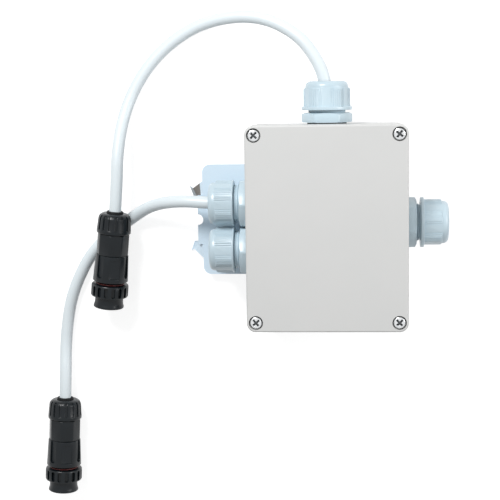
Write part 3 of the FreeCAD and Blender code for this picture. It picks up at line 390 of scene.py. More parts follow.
def stadium(name: str, width: float, start: float, end: float, floor: float,
            top: float) -> bpy.types.Object:
    """A cutter with round ends, long along Z and standing out along +X between two distances from the axis.

    Args:
        name: The piece's name.
        width: Its width, in millimetres.
        start: The height where its lower end begins.
        end: The height where its upper end stops.
        floor: How far from the axis its inner face is.
        top: How far from the axis its outer face is.

    Returns:
        The new mesh object.
    """
    profile = [(width / 2, 0.0), (width / 2, top - floor)]
    piece = lathe(name, profile, STADIUM_SIDES, turn=180 / STADIUM_SIDES)
    stretch = (end - start - width) / 2 * MM
    for vertex in piece.data.vertices:
        vertex.co.x += math.copysign(stretch, vertex.co.x)
    middle = (start + end) / 2
    piece.data.transform(Matrix(((0, 0, 1, floor * MM), (0, 1, 0, 0), (-1, 0, 0, middle * MM), (0, 0, 0, 1))))
    return piece


def pick(piece: bpy.types.Object, test: Test) -> None:
    """Selects the faces whose middle and normal pass a test, ready for edit mode.

    Args:
        piece: The mesh object.
        test: Which faces are selected.
    """
    bpy.context.tool_settings.mesh_select_mode = (False, False, True)
    mesh = piece.data
    for item in (*mesh.vertices, *mesh.edges):
        item.select = False
    for face in mesh.polygons:
        face.select = test(Vector(face.center), Vector(face.normal))


def press(piece: bpy.types.Object, test: Test, depth: float) -> None:
    """Pushes the picked faces inwards with walls round them.

    Args:
        piece: The mesh object.
        test: Which faces are pressed.
        depth: How deep, in millimetres.
    """
    only(piece)
    pick(piece, test)
    bpy.ops.object.mode_set(mode="EDIT")
    bpy.ops.mesh.extrude_region_shrink_fatten(TRANSFORM_OT_shrink_fatten={"value": -depth * MM})
    bpy.ops.object.mode_set(mode="OBJECT")


def duplicate(piece: bpy.types.Object, name: str) -> bpy.types.Object:
    """Copies a piece with its own mesh.

    Args:
        piece: The mesh object.
        name: The copy's name.

    Returns:
        The copy.
    """
    copy = piece.copy()
    copy.data = piece.data.copy()
    copy.name = name
    bpy.context.collection.objects.link(copy)
    return copy


def merge(pieces: list[bpy.types.Object]) -> bpy.types.Object:
    """Joins pieces that don't touch into the first of them.

    Args:
        pieces: The mesh objects.

    Returns:
        The first piece with all the others in it.
    """
    only(pieces[0])
    for piece in pieces:
        piece.select_set(True)
    bpy.ops.object.join()
    return pieces[0]


def repeat(cutter: bpy.types.Object, angles: tuple[float, ...]) -> bpy.types.Object:
    """Copies a cutter about Z and joins the copies.

    Args:
        cutter: The mesh object, which is removed.
        angles: How far each copy is turned, in degrees.

    Returns:
        All the copies as one mesh.
    """
    copies = []
    for angle in angles:
        copy = duplicate(cutter, cutter.name)
        copy.data.transform(Matrix.Rotation(math.radians(angle), 4, "Z"))
        copies.append(copy)
    bpy.data.objects.remove(cutter, do_unlink=True)
    return merge(copies)


def combine(piece: bpy.types.Object, other: bpy.types.Object, operation: str) -> bpy.types.Object:
    """Applies one boolean step and removes the second piece.

    Args:
        piece: The mesh that is kept.
        other: The mesh that it is combined with.
        operation: DIFFERENCE, UNION or INTERSECT.

    Returns:
        The first piece.
    """
    only(piece)
    step = piece.modifiers.new("combine", "BOOLEAN")
    step.operation = operation
    step.solver = "EXACT"
    step.object = other
    bpy.ops.object.modifier_apply(modifier=step.name)
    bpy.data.objects.remove(other, do_unlink=True)
    return piece


def soften(piece: bpy.types.Object, width: float, segments: int = 2, angle: float = 30.0) -> None:
    """Rounds the sharp edges a little and shades the piece smooth between them.

    Args:
        piece: The mesh object.
        width: The bevel's width, in millimetres.
        segments: Steps across the bevel.
        angle: The smallest turn between faces that is rounded, in degrees.
    """
    only(piece)
    bpy.ops.object.mode_set(mode="EDIT")
    bpy.ops.mesh.select_all(action="SELECT")
    bpy.ops.mesh.remove_doubles(threshold=WELD_DISTANCE)
    bpy.ops.mesh.dissolve_degenerate(threshold=WELD_DISTANCE)
    bpy.ops.object.mode_set(mode="OBJECT")
    step = piece.modifiers.new("soften", "BEVEL")
    step.width = width * MM
    step.segments = segments
    step.limit_method = "ANGLE"
    step.angle_limit = math.radians(angle)
    step.harden_normals = False
    bpy.ops.object.modifier_apply(modifier=step.name)
    bpy.ops.object.shade_smooth_by_angle(angle=SMOOTH_ANGLE)


def lie(piece: bpy.types.Object, at: Triple, way: Vector, turn: float = 0.0) -> None:
    """Lays a piece made along +Z on its way out, with its +X side as near upwards as that allows.

    Args:
        piece: The mesh object.
        at: Where its own origin goes, in millimetres.
        way: Where its +Z goes.
        turn: A turn about its own axis first, in degrees.
    """
    along = way.normalized()
    upright = UP - along * along.z
    side = upright.normalized() if upright.length > NEARLY_UPRIGHT else Vector((1, 0, 0))
    place = Matrix((side, along.cross(side), along)).transposed().to_4x4()
    spin = Matrix.Rotation(math.radians(turn), 4, "Z")
    piece.matrix_world = Matrix.Translation(Vector(at) * MM) @ place @ spin
    only(piece)
    bpy.ops.object.transform_apply(location=True, rotation=True, scale=True)


def hand_in(piece: bpy.types.Object, finish: Finish, body: str, *nodes: str) -> bpy.types.Object:
    """Dresses a piece, lets it ride on its body, and lets it stand for the nodes that it replaces.

    Args:
        piece: The finished object.
        finish: Its material.
        body: The body that it rides on.
        nodes: The solids that it replaces.

    Returns:
        The same object.
    """
    piece.data.materials.clear()
    piece.data.materials.append(finish.build())
    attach(piece, body)
    if nodes:
        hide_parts(*nodes)
    LOG.info("%s rides on %s, %d nodes replaced", piece.name, body, len(nodes))
    return piece


@dataclass
class Enclosure:
    """The tray, the lid, the seal between them and what is fixed inside, which keep their own solids."""

    finishes: dict[str, Finish] = field(default_factory=lambda: {
        "enclosure_base": BOX_ABS, "enclosure_lid": BOX_ABS, "lid_gasket": GREY_RUBBER,
        "screw_inserts": BRASS, "rail_plate": PLATE_ZINC_WITH_PAINTED_CLAW_SHADE, "plate_screws": ZINC_STEEL,
        "terminal_block": BLOCK_NYLON, "terminal_clamps": BRASS, "terminal_screws": ZINC_STEEL,
        "terminal_fixings": ZINC_STEEL, "jacket_top": JACKET_PVC, "jacket_left": JACKET_PVC,
    })

    def dress(self) -> None:
        """Gives each of these nodes its finish."""
        finishes = dict(self.finishes)
        for side in ("top", "left"):
            for colour, finish in CORE_COLOURS.items():
                finishes[f"{side}_core_{colour}"] = finish
        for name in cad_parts:
            if name.endswith("locknut"):
                finishes[name] = GLAND_NYLON
            if name.endswith("carrier"):
                finishes[name] = BLACK_NYLON
            if name.endswith("contacts"):
                finishes[name] = BRASS
        for name, finish in finishes.items():
            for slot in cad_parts[name].material_slots:
                slot.link = "OBJECT"
                slot.material = finish.build()
            LOG.info("%s keeps its solid", name)


@dataclass
class LidScrews:
    """The four pan-head screws that hold the lid.

    The head's edge is given as pairs of an inset from its radius and a share of its height.
    """

    places: Profile = ((-39.9, -52.2), (-39.9, 52.2), (39.9, -52.2), (39.9, 52.2))
    turns: tuple[float, ...] = (41.0, 47.0, 44.0, 52.0)
    seat: float = 60.2
    sides: int = 48
    head_radius: float = 3.55
    head_height: float = 2.4
    head_edge: Profile = ((0.0, 0.5), (0.15, 0.7), (0.55, 0.87), (1.2, 0.96))
    crown_radius: float = 0.9
    shank_radius: float = 2.0
    shank_end: float = -18.7
    tip_share: float = 0.7
    tip_length: float = 0.8
    neck_share: float = 0.9
    neck_lead: float = 0.4
    thread_start: float = -12.5
    thread_pitch: float = 0.9
    root_share: float = 0.86
    root_span: Ring = (0.35, 0.5)
    recess_width: float = 1.2
    recess_length: float = 5.0
    recess_depth: float = 1.8
    recess_taper: float = 0.6
    recess_overlap: float = 0.05
    rounding: float = 0.1

    def screw(self) -> bpy.types.Object:
        """Turns one screw and cuts the cross recess with sloping sides into its head.

        Returns:
            The screw, standing on +Z with the seat of its head at the origin.
        """
        radius, top = self.shank_radius, self.head_height
        height = self.shank_end + self.tip_length
        profile = [(radius * self.tip_share, self.shank_end), (radius, height)]
        while height < self.thread_start:
            profile += [(radius * self.root_share, height + rise) for rise in self.root_span]
            height += self.thread_pitch
            profile.append((radius, height))
        profile += [(radius * self.neck_share, height + self.neck_lead), (radius * self.neck_share, 0.0),
                    (self.head_radius, 0.0)]
        profile += [(self.head_radius - inset, top * share) for inset, share in self.head_edge]
        profile.append((self.crown_radius, top))
        piece = lathe("lid_screw", profile, self.sides)
        middle = top - self.recess_depth / 2 + self.recess_overlap
        size = (self.recess_length, self.recess_width, self.recess_depth)
        cross = slab("cross", size, (0, 0, middle), self.recess_taper)
        second = duplicate(cross, "second_blade")
        second.data.transform(Matrix.Rotation(math.pi / 2, 4, "Z"))
        combine(cross, second, "UNION")
        combine(piece, cross, "DIFFERENCE")
        soften(piece, self.rounding)
        return piece

    def build(self) -> None:
        """Copies the screw to its four places."""
        pattern = self.screw()
        for number, ((x, y), turn) in enumerate(zip(self.places, self.turns), 1):
            copy = duplicate(pattern, f"screw_head_{number}")
            lie(copy, (x, y, self.seat), UP, turn)
            hand_in(copy, SCREW_STEEL_WITH_PAINTED_RECESS_SHADE, f"screw_{number}", f"lid_screw_{number}")
        bpy.data.objects.remove(pattern, do_unlink=True)


@dataclass(frozen=True)
class GlandPlace:
    """Where one gland stands and points, and what its nut is like.

    The flange is a radius and a thickness, the gap lies between hexagon and nut, and turns are in degrees.
    """

    name: str
    at: Triple
    way: Triple
    flange: Ring
    gap: float
    grip: float
    hexagon_turn: float
    nut_turn: float


GLANDS = (
    GlandPlace("top", (0, 56.6, 28), (0, 1, 0), (14.4, 1.9), 1.6, 10.6, 0, 0),
    GlandPlace("right", (44.1, 0, 28), (1, 0, 0), (14.4, 1.9), 2.3, 10.2, -12, 12),
    GlandPlace("left_upper", (-44.1, 11.7, 28), (-1, 0, 0), (13.35, 1.1), 3.2, 9.7, 30, 0),
    GlandPlace("left_lower", (-44.1, -15.3, 28), (-1, 0, 0), (13.35, 1.1), 3.2, 9.7, 30, 4),
)


@dataclass
class CableGland:
    """A gland: threaded body with its hexagon, domed nut, rubber sleeve and flat washer.

    Each edge is given as pairs of an inset from a radius and a distance along the axis.
    """

    inner_end: float = -9.5
    inner_chamfer: Ring = (0.8, 0.4)
    thread_radius: float = 10.0
    thread_pitch: float = 1.5
    thread_depth: float = 0.6
    thread_form: Profile = (
        (thread_depth, 0.0), (thread_depth, 0.2), (0.0, 0.6), (0.0, 1.0), (thread_depth, 1.4))
    thread_gap: float = 0.4
    core_inset: float = 0.1
    core_span: Ring = (0.3, 1.5)
    washer_radius: float = 11.2
    washer_height: float = 1.2
    washer_edge: Ring = (0.25, 0.3)
    hexagon_flats: float = 25.4
    hexagon_round: float = 14.35
    hexagon_top: float = 6.6
    hexagon_bevel: float = 0.8
    hexagon_foot: Ring = (0.6, 0.4)
    neck_radius: float = 10.7
    neck_end: float = 15.6
    neck_lead: float = 0.05
    finger_radius: float = 9.2
    finger_end: float = 18.8
    finger_taper: float = 0.6
    bore_radius: float = 6.6
    sleeve_bore: float = 3.7
    sleeve_radius: float = 7.8
    sleeve_start: float = 3.8
    sleeve_end: float = 14.8
    sleeve_edge: Profile = ((0.0, 1.6), (0.4, 0.6), (1.0, 0.0))
    sleeve_lip: Profile = ((-1.4, 0.0), (-1.1, 0.4), (-0.5, 0.2), (0.0, 0.4))
    sleeve_clearance: float = 0.1
    grip_radius: float = 13.3
    grip_flats: float = 24.6
    grip_overlap: float = 0.4
    grip_edge: Profile = ((0.0, 0.9), (0.3, 0.35), (0.9, 0.0))
    groove_depth: float = 0.22
    groove_width: float = 0.5
    groove_reach: float = 2.0
    groove_count: int = 72
    pad_half: float = 9.0
    dome_radius: float = 12.2
    dome_height: float = 3.8
    dome_lead: float = 0.02
    dome_edge: Profile = ((0.0, 2.9), (0.22, 1.8), (0.85, 0.85), (1.8, 0.22), (2.9, 0.0))
    flange_chamfer: float = 0.25
    mouth_radius: float = 6.5
    mouth_chamfer: float = 0.8
    nut_clearance: float = 0.2
    nut_roof: float = 0.6
    body_rounding: float = 0.22
    nut_rounding: float = 0.14
    sleeve_rounding: float = 0.1
    washer_rounding: float = 0.08

    def threads(self, radius: float, start: float, end: float) -> list[Ring]:
        """Rings of a rounded thread between two heights.

        Args:
            radius: The radius over the crests.
            start: The height of the first root.
            end: The height that no crest passes.

        Returns:
            Radius and height of each ring.
        """
        rings = []
        height = start
        while height + self.thread_pitch <= end:
            rings += [(radius - inset, height + rise) for inset, rise in self.thread_form]
            height += self.thread_pitch
        return rings

    def body(self) -> bpy.types.Object:
        """The hexagon with its bevelled corners, on a threaded tube with a bore.

        Returns:
            The new mesh object.
        """
        corner = self.hexagon_flats / math.sqrt(3)
        low, top = self.washer_height, self.hexagon_top
        hexagon = lathe("gland_hexagon", [(corner, low), (corner, top)], HEX_SIDES, turn=HEX_TURN)
        inset, rise = self.hexagon_foot
        limit = lathe("round_limit", [
            (self.hexagon_round - inset, low), (self.hexagon_round, low + rise),
            (self.hexagon_round, top - self.hexagon_bevel),
            (self.hexagon_round - 2 * self.hexagon_bevel, top)], ROUND_SIDES)
        combine(hexagon, limit, "INTERSECT")
        inset, rise = self.inner_chamfer
        core_start, core_end = self.core_span
        inner = self.threads(self.thread_radius, self.inner_end + rise, low - self.thread_gap)
        neck = self.threads(self.neck_radius, top + self.neck_lead, self.neck_end)
        tube = lathe("gland_tube", [
            (self.thread_radius - inset, self.inner_end), *inner,
            (self.thread_radius - self.core_inset, low + core_start),
            (self.neck_radius - self.thread_depth, low + core_end), *neck,
            (self.finger_radius, self.neck_end), (self.finger_radius - self.finger_taper, self.finger_end)],
            SMALL_SIDES)
        combine(hexagon, tube, "UNION")
        seat = self.sleeve_radius + self.sleeve_clearance
        bore = lathe("bore", [
            (self.bore_radius, self.inner_end - CUT_ROOM), (self.bore_radius, self.sleeve_start),
            (seat, self.sleeve_start), (seat, self.finger_end + CUT_ROOM)], SMALL_SIDES)
        combine(hexagon, bore, "DIFFERENCE")
        soften(hexagon, self.body_rounding)
        return hexagon

    def grooves(self, start: float, end: float) -> bpy.types.Object:
        """Cutters for the fine grooves round the grip, which leave a plain pad on each of its six flats.

        Args:
            start: The height where they begin.
            end: The height where they stop.

        Returns:
            All the cutters as one mesh.
        """
        cutters = []
        sector = 360 / HEX_SIDES
        for number in range(self.groove_count):
            angle = 360 * (number + 0.5) / self.groove_count
            lean = math.radians((angle + sector / 2) % sector - sector / 2)
            if abs(lean) < math.radians(self.pad_half):
                continue
            outline = min(self.grip_radius, self.grip_flats / 2 / math.cos(lean))
            cutter = slab("groove", (self.groove_reach, self.groove_width, end - start),
                          (outline - self.groove_depth + self.groove_reach / 2, 0, (start + end) / 2))
            cutter.data.transform(Matrix.Rotation(math.radians(angle), 4, "Z"))
            cutters.append(cutter)
        return merge(cutters)

    def nut(self, flange: Ring, gap: float, length: float) -> bpy.types.Object:
        """The domed nut with six wrench flats, fine grooves all round and a thin flange.

        Args:
            flange: Radius and thickness of the flange at its foot.
            gap: How far the nut stands off the hexagon.
            length: How long the grip is.

        Returns:
            The new mesh object.
        """
        flange_radius, thickness = flange
        foot = self.hexagon_top + gap
        grip = foot + thickness
        shoulder = grip + length
        tip = shoulder + self.dome_height
        piece = lathe("gland_nut", [
            (self.grip_radius, grip - self.grip_overlap), *edge(self.grip_radius, shoulder, self.grip_edge),
            (self.dome_radius, shoulder + self.dome_lead), *edge(self.dome_radius, tip, self.dome_edge)],
            NUT_SIDES)
        corner = self.grip_flats / math.sqrt(3)
        flats = [(corner, grip - CUT_ROOM), (corner, tip + CUT_ROOM)]
        prism = lathe("flats", flats, HEX_SIDES, turn=HEX_TURN)
        combine(piece, prism, "INTERSECT")
        combine(piece, self.grooves(grip - CUT_ROOM, shoulder + CUT_ROOM), "DIFFERENCE")
        chamfer = self.flange_chamfer
        disc = lathe("flange", [
            (flange_radius - chamfer, foot), (flange_radius, foot + chamfer), (flange_radius, grip - chamfer),
            (flange_radius - chamfer, grip)], NUT_SIDES)
        combine(piece, disc, "UNION")
        thread = self.neck_radius + self.nut_clearance
        roof = self.finger_end + self.nut_roof
        wide = self.mouth_radius + self.mouth_chamfer
        hollow = lathe("nut_hollow", [
            (thread, foot - CUT_ROOM), (thread, self.neck_end + self.nut_clearance),
            (self.finger_radius + self.nut_clearance, roof), (self.mouth_radius, roof),
            (self.mouth_radius, tip - self.mouth_chamfer), (wide, tip), (wide, tip + CUT_ROOM)], ROUND_SIDES)
        combine(piece, hollow, "DIFFERENCE")
        soften(piece, self.nut_rounding)
        return piece

    def sleeve(self) -> bpy.types.Object:
        """The rubber sleeve with two squeezed rings at its outer end.

        Returns:
            The new mesh object.
        """
        piece = lathe("gland_sleeve", [
            (self.sleeve_bore, self.sleeve_start), (self.sleeve_radius, self.sleeve_start),
            *edge(self.sleeve_radius, self.sleeve_end, self.sleeve_edge),
            *edge(self.sleeve_bore, self.sleeve_end, self.sleeve_lip)], SMALL_SIDES, hollow=True)
        soften(piece, self.sleeve_rounding)
        return piece

    def washer(self) -> bpy.types.Object:
        """The flat black washer with soft edges.

        Returns:
            The new mesh object.
        """
        outer, high = self.washer_radius, self.washer_height
        inner = self.thread_radius + self.nut_clearance
        inset, rise = self.washer_edge
        piece = lathe("gland_washer", [
            (inner, 0), (outer - inset, 0), (outer, rise), (outer, high - rise), (outer - inset, high),
            (inner, high)], ROUND_SIDES, hollow=True)
        soften(piece, self.washer_rounding)
        return piece

    def build(self) -> None:
        """Makes each kind of piece once and copies it to the four glands."""
        patterns = {"body": (self.body(), GLAND_NYLON), "seal": (self.sleeve(), GREY_RUBBER),
                    "washer": (self.washer(), BLACK_RUBBER)}
        for place in GLANDS:
            way = Vector(place.way)
            for kind, (pattern, finish) in patterns.items():
                copy = duplicate(pattern, f"{place.name}_gland_{kind}")
                lie(copy, place.at, way, place.hexagon_turn)
                hand_in(copy, finish, "box", f"gland_{place.name}_{kind}")
            nut = self.nut(place.flange, place.gap, place.grip)
            nut.name = f"{place.name}_gland_nut"
            lie(nut, place.at, way, place.nut_turn)
            hand_in(nut, GLAND_NYLON, f"nut_{place.name}", f"gland_{place.name}_nut")
        for pattern, _ in patterns.values():
            bpy.data.objects.remove(pattern, do_unlink=True)


@dataclass(frozen=True)
class ConnectorPlace:
    """Where one connector lies: its cable end, its heading off -Y, its dip and its turn, in degrees."""

    name: str
    at: Triple
    heading: float
    dip: float
    turn: float = -21.0

    def way(self) -> Vector:
        """The direction that its front points.

        Returns:
            A unit vector.
        """
        heading, dip = math.radians(self.heading), math.radians(self.dip)
        level = math.cos(dip)
        return Vector((-math.sin(heading) * level, -math.cos(heading) * level, -math.sin(dip)))


CONNECTORS = (
    ConnectorPlace("upper", (-125.4, 6.7, 18.9), 6.2, 3.5),
    ConnectorPlace("lower", (-161.0, -108.0, 10.5), 3.0, -0.8),
)


@dataclass
class Connector:
    """The outdoor connector: grommet, ribbed cap nut, shell, red seal and slotted coupling ring.

    Each edge is given as pairs of an inset from a radius and a distance along the axis.
    """

    length: float = 58.4
    bore: float = 3.7
    bore_chamfer: float = 0.3
    tail_radius: float = 4.9
    tail_edge: Profile = ((0.6, 0.0), (0.15, 0.2), (0.0, 0.6))
    grommet_radius: float = 6.8
    cone_start: float = 3.7
    cone_length: float = 1.0
    grommet_end: float = 12.2
    socket: float = 6.0
    cap_start: float = 1.3
    cap_end: float = 13.0
    cap_rim: float = 2.0
    cap_radius: float = 10.1
    cap_shoulder: float = 9.4
    cap_back: Profile = ((3.0, 0.0), (1.85, 0.23), (0.88, 0.88), (0.35, 1.6), (-0.03, 2.4), (-0.15, 3.0))
    cap_flare: Ring = (0.12, 0.3)
    cap_inner: float = 8.2
    cap_chamfer: float = 0.3
    cap_roof: float = 1.5
    cap_ribs: int = 16
    sides_per_rib: int = 8
    rib_depth: float = 0.7
    rib_share: float = 0.375
    rib_inset: float = 0.7
    rib_span: Ring = (1.0, 0.2)
    collar_end: float = 26.2
    collar_radius: float = 9.45
    collar_flats: float = 17.8
    collar_sides: int = 8
    collar_gap: float = 0.4
    collar_chamfer: Ring = (0.4, 0.9)
    collar_overlap: float = 0.35
    shell_start_radius: float = 9.7
    shell_end_radius: float = 10.4
    shell_end: float = 42.0
    shell_lead: float = 2.0
    shell_edge: float = 0.3
    shell_front: Profile = ((0.0, 0.3), (0.15, 0.0))
    tail_chamfer: float = 0.5
    throat: Ring = (1.4, 1.0)
    step: float = 0.01
    shoulder_radius: float = 8.1
    shoulder_rise: float = 0.9
    groove_width: float = 4.2
    groove_span: Ring = (24.0, 39.6)
    groove_depth: float = 0.9
    groove_angles: tuple[float, ...] = (-52, 52, 128, -128)
    cut_reach: float = 2.0
    panel_width: float = 6.4
    panel_length: float = 11.0
    panel_middle: float = 33.9
    panel_depth: float = 0.45
    panel_angles: tuple[float, ...] = (0, 180)
    spigot_radius: float = 7.1
    spigot_chamfer: float = 0.5
    spigot_bore: float = 6.2
    spigot_end: float = 57.0
    spigot_floor: float = 39.0
    seal_radius: float = 8.6
    seal_span: Ring = (0.9, 0.1)
    seal_edge: Profile = ((0.4, 0.0), (0.1, 0.15), (0.0, 0.4))
    ring_start: float = 44.0
    ring_end: float = 51.6
    ring_radius: float = 11.0
    ring_edge: Profile = ((0.9, 0.0), (0.3, 0.25), (0.0, 0.8))
    ring_slots: int = 16
    slot_depth: float = 1.9
    slot_width: float = 2.3
    slot_margin: float = 0.8
    front_radius: float = 8.4
    front_fillet: float = 0.4
    front_flare: Profile = ((0.0, 2.4), (-0.1, 1.2), (-0.3, 0.3))
    rim_radius: float = 9.0
    rim_length: float = 1.6
    rim_edge: float = 0.4
    slack: float = 0.15
    rubber_rounding: float = 0.1
    moulded_rounding: float = 0.16
    shell_rounding: float = 0.22
    seal_rounding: float = 0.06

    def grommet(self) -> bpy.types.Object:
        """The rubber sleeve, squeezed out a little behind the cap nut.

        Returns:
            The new mesh object.
        """
        start, tail, chamfer = self.cone_start, self.tail_radius, self.bore_chamfer
        piece = lathe("grommet", [
            (self.bore, self.socket), (self.bore, chamfer), (self.bore + chamfer, 0),
            *((tail - inset, rise) for inset, rise in self.tail_edge), (tail, start),
            (self.grommet_radius, start + self.cone_length), (self.grommet_radius, self.grommet_end),
            (self.bore, self.grommet_end)], SMALL_SIDES, hollow=True)
        soften(piece, self.rubber_rounding)
        return piece

    def cap_nut(self) -> bpy.types.Object:
        """The cap nut: a round shoulder, then ribs made by pressing slots into the side, and a plain rim.

        Returns:
            The new mesh object.
        """
        mouth = self.tail_radius + self.slack
        radius, start, end, back = self.cap_radius, self.cap_start, self.cap_end, self.cap_shoulder
        rim = end - self.cap_rim
        flare_inset, flare_drop = self.cap_flare
        piece = lathe("cap_nut", [
            (mouth, start), *((back - inset, start + rise) for inset, rise in self.cap_back),
            (radius - flare_inset, rim - flare_drop), (radius, rim), (radius, end - self.cap_chamfer),
            (radius - self.cap_chamfer, end), (self.cap_inner, end),
            (self.cap_inner, self.cone_start + self.cap_roof),
            (self.grommet_radius + self.slack, self.cone_start + self.cone_length), (mouth, self.cone_start)],
            self.cap_ribs * self.sides_per_rib, hollow=True)
        pitch = math.tau / self.cap_ribs
        first, last = self.rib_span

        def slotted(middle: Vector, normal: Vector) -> bool:
            """Whether a face lies in one of the slots between the ribs.

            Args:
                middle: The face's middle.
                normal: Its normal, which doesn't matter here.

            Returns:
                True for a face in a slot.
            """
            phase = (math.atan2(middle.y, middle.x) % pitch) / pitch
            outside = math.hypot(middle.x, middle.y) > (back - self.rib_inset) * MM
            return phase < self.rib_share and outside and (start + first) * MM < middle.z < (rim - last) * MM

        press(piece, slotted, self.rib_depth)
        soften(piece, self.moulded_rounding)
        return piece

    def collar(self) -> bpy.types.Object:
        """The faceted collar between the cap nut and the grip.

        Returns:
            The new mesh object.
        """
        corner = self.collar_flats / 2 / math.cos(math.pi / self.collar_sides)
        start, end = self.cap_end + self.collar_gap, self.collar_end - self.collar_overlap
        inset, rise = self.collar_chamfer
        half = 180 / self.collar_sides
        piece = lathe("collar", [(corner, start), (corner, end)], self.collar_sides, turn=half)
        limit = lathe("collar_limit", [
            (self.collar_radius - inset, start), (self.collar_radius, self.cap_end + rise),
            (self.collar_radius, end)], ROUND_SIDES)
        return combine(piece, limit, "INTERSECT")

    def shell(self) -> bpy.types.Object:
        """The shell: plain tail, faceted collar, flared grip with long grooves and panels, and the spigot.

        Returns:
            The new mesh object.
        """
        tail = self.cap_inner - self.slack
        start = self.cone_start + self.shell_lead
        shoulder = self.shell_end + self.shoulder_rise
        grip = self.shell_start_radius
        throat_inset, throat_length = self.throat
        piece = lathe("connector_shell", [
            (tail - self.tail_chamfer, start), (tail, start + self.tail_chamfer),
            (tail, self.collar_end - throat_length), (grip - throat_inset, self.collar_end - self.step),
            (grip - self.shell_edge, self.collar_end), (grip, self.collar_end + self.shell_edge),
            *edge(self.shell_end_radius, self.shell_end, self.shell_front), (self.shoulder_radius, shoulder),
            (self.spigot_radius, shoulder + self.step),
            (self.spigot_radius, self.spigot_end - self.spigot_chamfer),
            (self.spigot_radius - self.spigot_chamfer, self.spigot_end)], ROUND_SIDES)
        groove = stadium("grip_groove", self.groove_width, *self.groove_span, grip - self.groove_depth,
                         self.shell_end_radius + self.cut_reach)
        combine(piece, repeat(groove, self.groove_angles), "DIFFERENCE")
        panel = slab("panel", (2 * self.cut_reach, self.panel_width, self.panel_length),
                     (grip - self.panel_depth + self.cut_reach, 0, self.panel_middle))
        combine(piece, repeat(panel, self.panel_angles), "DIFFERENCE")
        combine(piece, self.collar(), "UNION")
        for name, bore, low, high in (
                ("rear_bore", self.grommet_radius + self.slack, start - CUT_ROOM, self.grommet_end),
                ("front_bore", self.spigot_bore, self.spigot_floor, self.spigot_end + CUT_ROOM)):
            combine(piece, lathe(name, [(bore, low), (bore, high)], SMALL_SIDES), "DIFFERENCE")
        soften(piece, self.shell_rounding)
        return piece

    def seal(self) -> bpy.types.Object:
        """The red ring with a round outer edge.

        Returns:
            The new mesh object.
        """
        start, end = (self.ring_start - before for before in self.seal_span)
        inner, outer = self.spigot_radius + self.slack, self.seal_radius
        piece = lathe("face_seal", [
            (inner, start), *((outer - inset, start + rise) for inset, rise in self.seal_edge),
            *edge(outer, end, self.seal_edge[1::-1]), (inner, end)], ROUND_SIDES, hollow=True)
        soften(piece, self.seal_rounding)
        return piece

    def coupling_ring(self) -> bpy.types.Object:
        """The coupling ring with oval slots, and the sleeve in front of it with its raised rim.

        Returns:
            The new mesh object.
        """
        inner, radius = self.spigot_radius + self.slack, self.ring_radius
        start, end, rim = self.ring_start, self.ring_end, self.length - self.rim_length
        piece = lathe("coupling_ring", [
            (inner, start), *((radius - inset, start + rise) for inset, rise in self.ring_edge),
            *edge(radius, end, self.ring_edge[::-1]), (self.front_radius + self.front_fillet, end),
            (self.front_radius, end + self.front_fillet), *edge(self.front_radius, rim, self.front_flare),
            (self.rim_radius, rim + self.rim_edge), (self.rim_radius, self.length - self.rim_edge),
            (self.rim_radius - self.rim_edge, self.length), (inner, self.length)],
            self.ring_slots * self.sides_per_rib, hollow=True)
        slot = stadium("ring_slot", self.slot_width, start + self.slot_margin, end - self.slot_margin,
                       radius - self.slot_depth, radius + CUT_ROOM)
        angles = tuple(360 * number / self.ring_slots for number in range(self.ring_slots))
        combine(piece, repeat(slot, angles), "DIFFERENCE")
        soften(piece, self.moulded_rounding)
        return piece

    def build(self) -> dict[str, list[bpy.types.Object]]:
        """Makes each piece once and copies it to both connectors.

        Returns:
            The pieces of each connector, by the connector's name.
        """
        patterns = {
            "grommet": (self.grommet(), BLACK_RUBBER, "box"),
            "cap_nut": (self.cap_nut(), BLACK_NYLON, "cap_{}"),
            "body": (self.shell(), BLACK_NYLON, "box"),
            "seal": (self.seal(), RED_SILICONE_DARKENED_AS_PAINTED_SHADE, "box"),
            "coupling_ring": (self.coupling_ring(), BLACK_NYLON, "coupling_{}"),
        }
        made: dict[str, list[bpy.types.Object]] = {}
        for place in CONNECTORS:
            made[place.name] = []
            for kind, (pattern, finish, body) in patterns.items():
                copy = duplicate(pattern, f"{place.name}_connector_{kind}")
                lie(copy, place.at, place.way(), place.turn)
                hand_in(copy, finish, body.format(place.name), f"connector_{place.name}_{kind}")
                made[place.name].append(copy)
            for kind in ("carrier", "contacts"):
                made[place.name].append(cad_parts[f"connector_{place.name}_{kind}"])
        for pattern, _, _ in patterns.values():
            bpy.data.objects.remove(pattern, do_unlink=True)
        return made


@dataclass(frozen=True)
class CableRun:
    """One cable: its route, how far behind the connector its last straight run starts, and its length.

    All of them are in metres.
    """

    name: str
    route: tuple[Triple, ...]
    last_run: float
    length: float
    connector: ConnectorPlace


TOP_CABLE = CableRun("cable_top", (
    (0, 0.065, 0.028), (0, 0.0775, 0.028), (-0.0043, 0.092, 0.0277), (-0.0165, 0.1084, 0.0252),
    (-0.040, 0.1195, 0.0175), (-0.0695, 0.1173, 0.008), (-0.092, 0.1055, 0.0038), (-0.109, 0.088, 0.0037),
    (-0.120, 0.066, 0.006), (-0.1232, 0.043, 0.0183)),
    0.013, 0.2473, CONNECTORS[0])
LEFT_CABLE = CableRun("cable_left", (
    (-0.0535, 0.0117, 0.028), (-0.066, 0.0117, 0.028), (-0.0865, 0.0132, 0.025), (-0.105, 0.0095, 0.0132),
    (-0.119, 0.0003, 0.005), (-0.132, -0.0095, 0.0037), (-0.143, -0.020, 0.0037), (-0.1505, -0.033, 0.0037),
    (-0.1563, -0.047, 0.0037), (-0.1593, -0.0615, 0.0037), (-0.161, -0.078, 0.0044)),
    0.012, 0.2031, CONNECTORS[1])


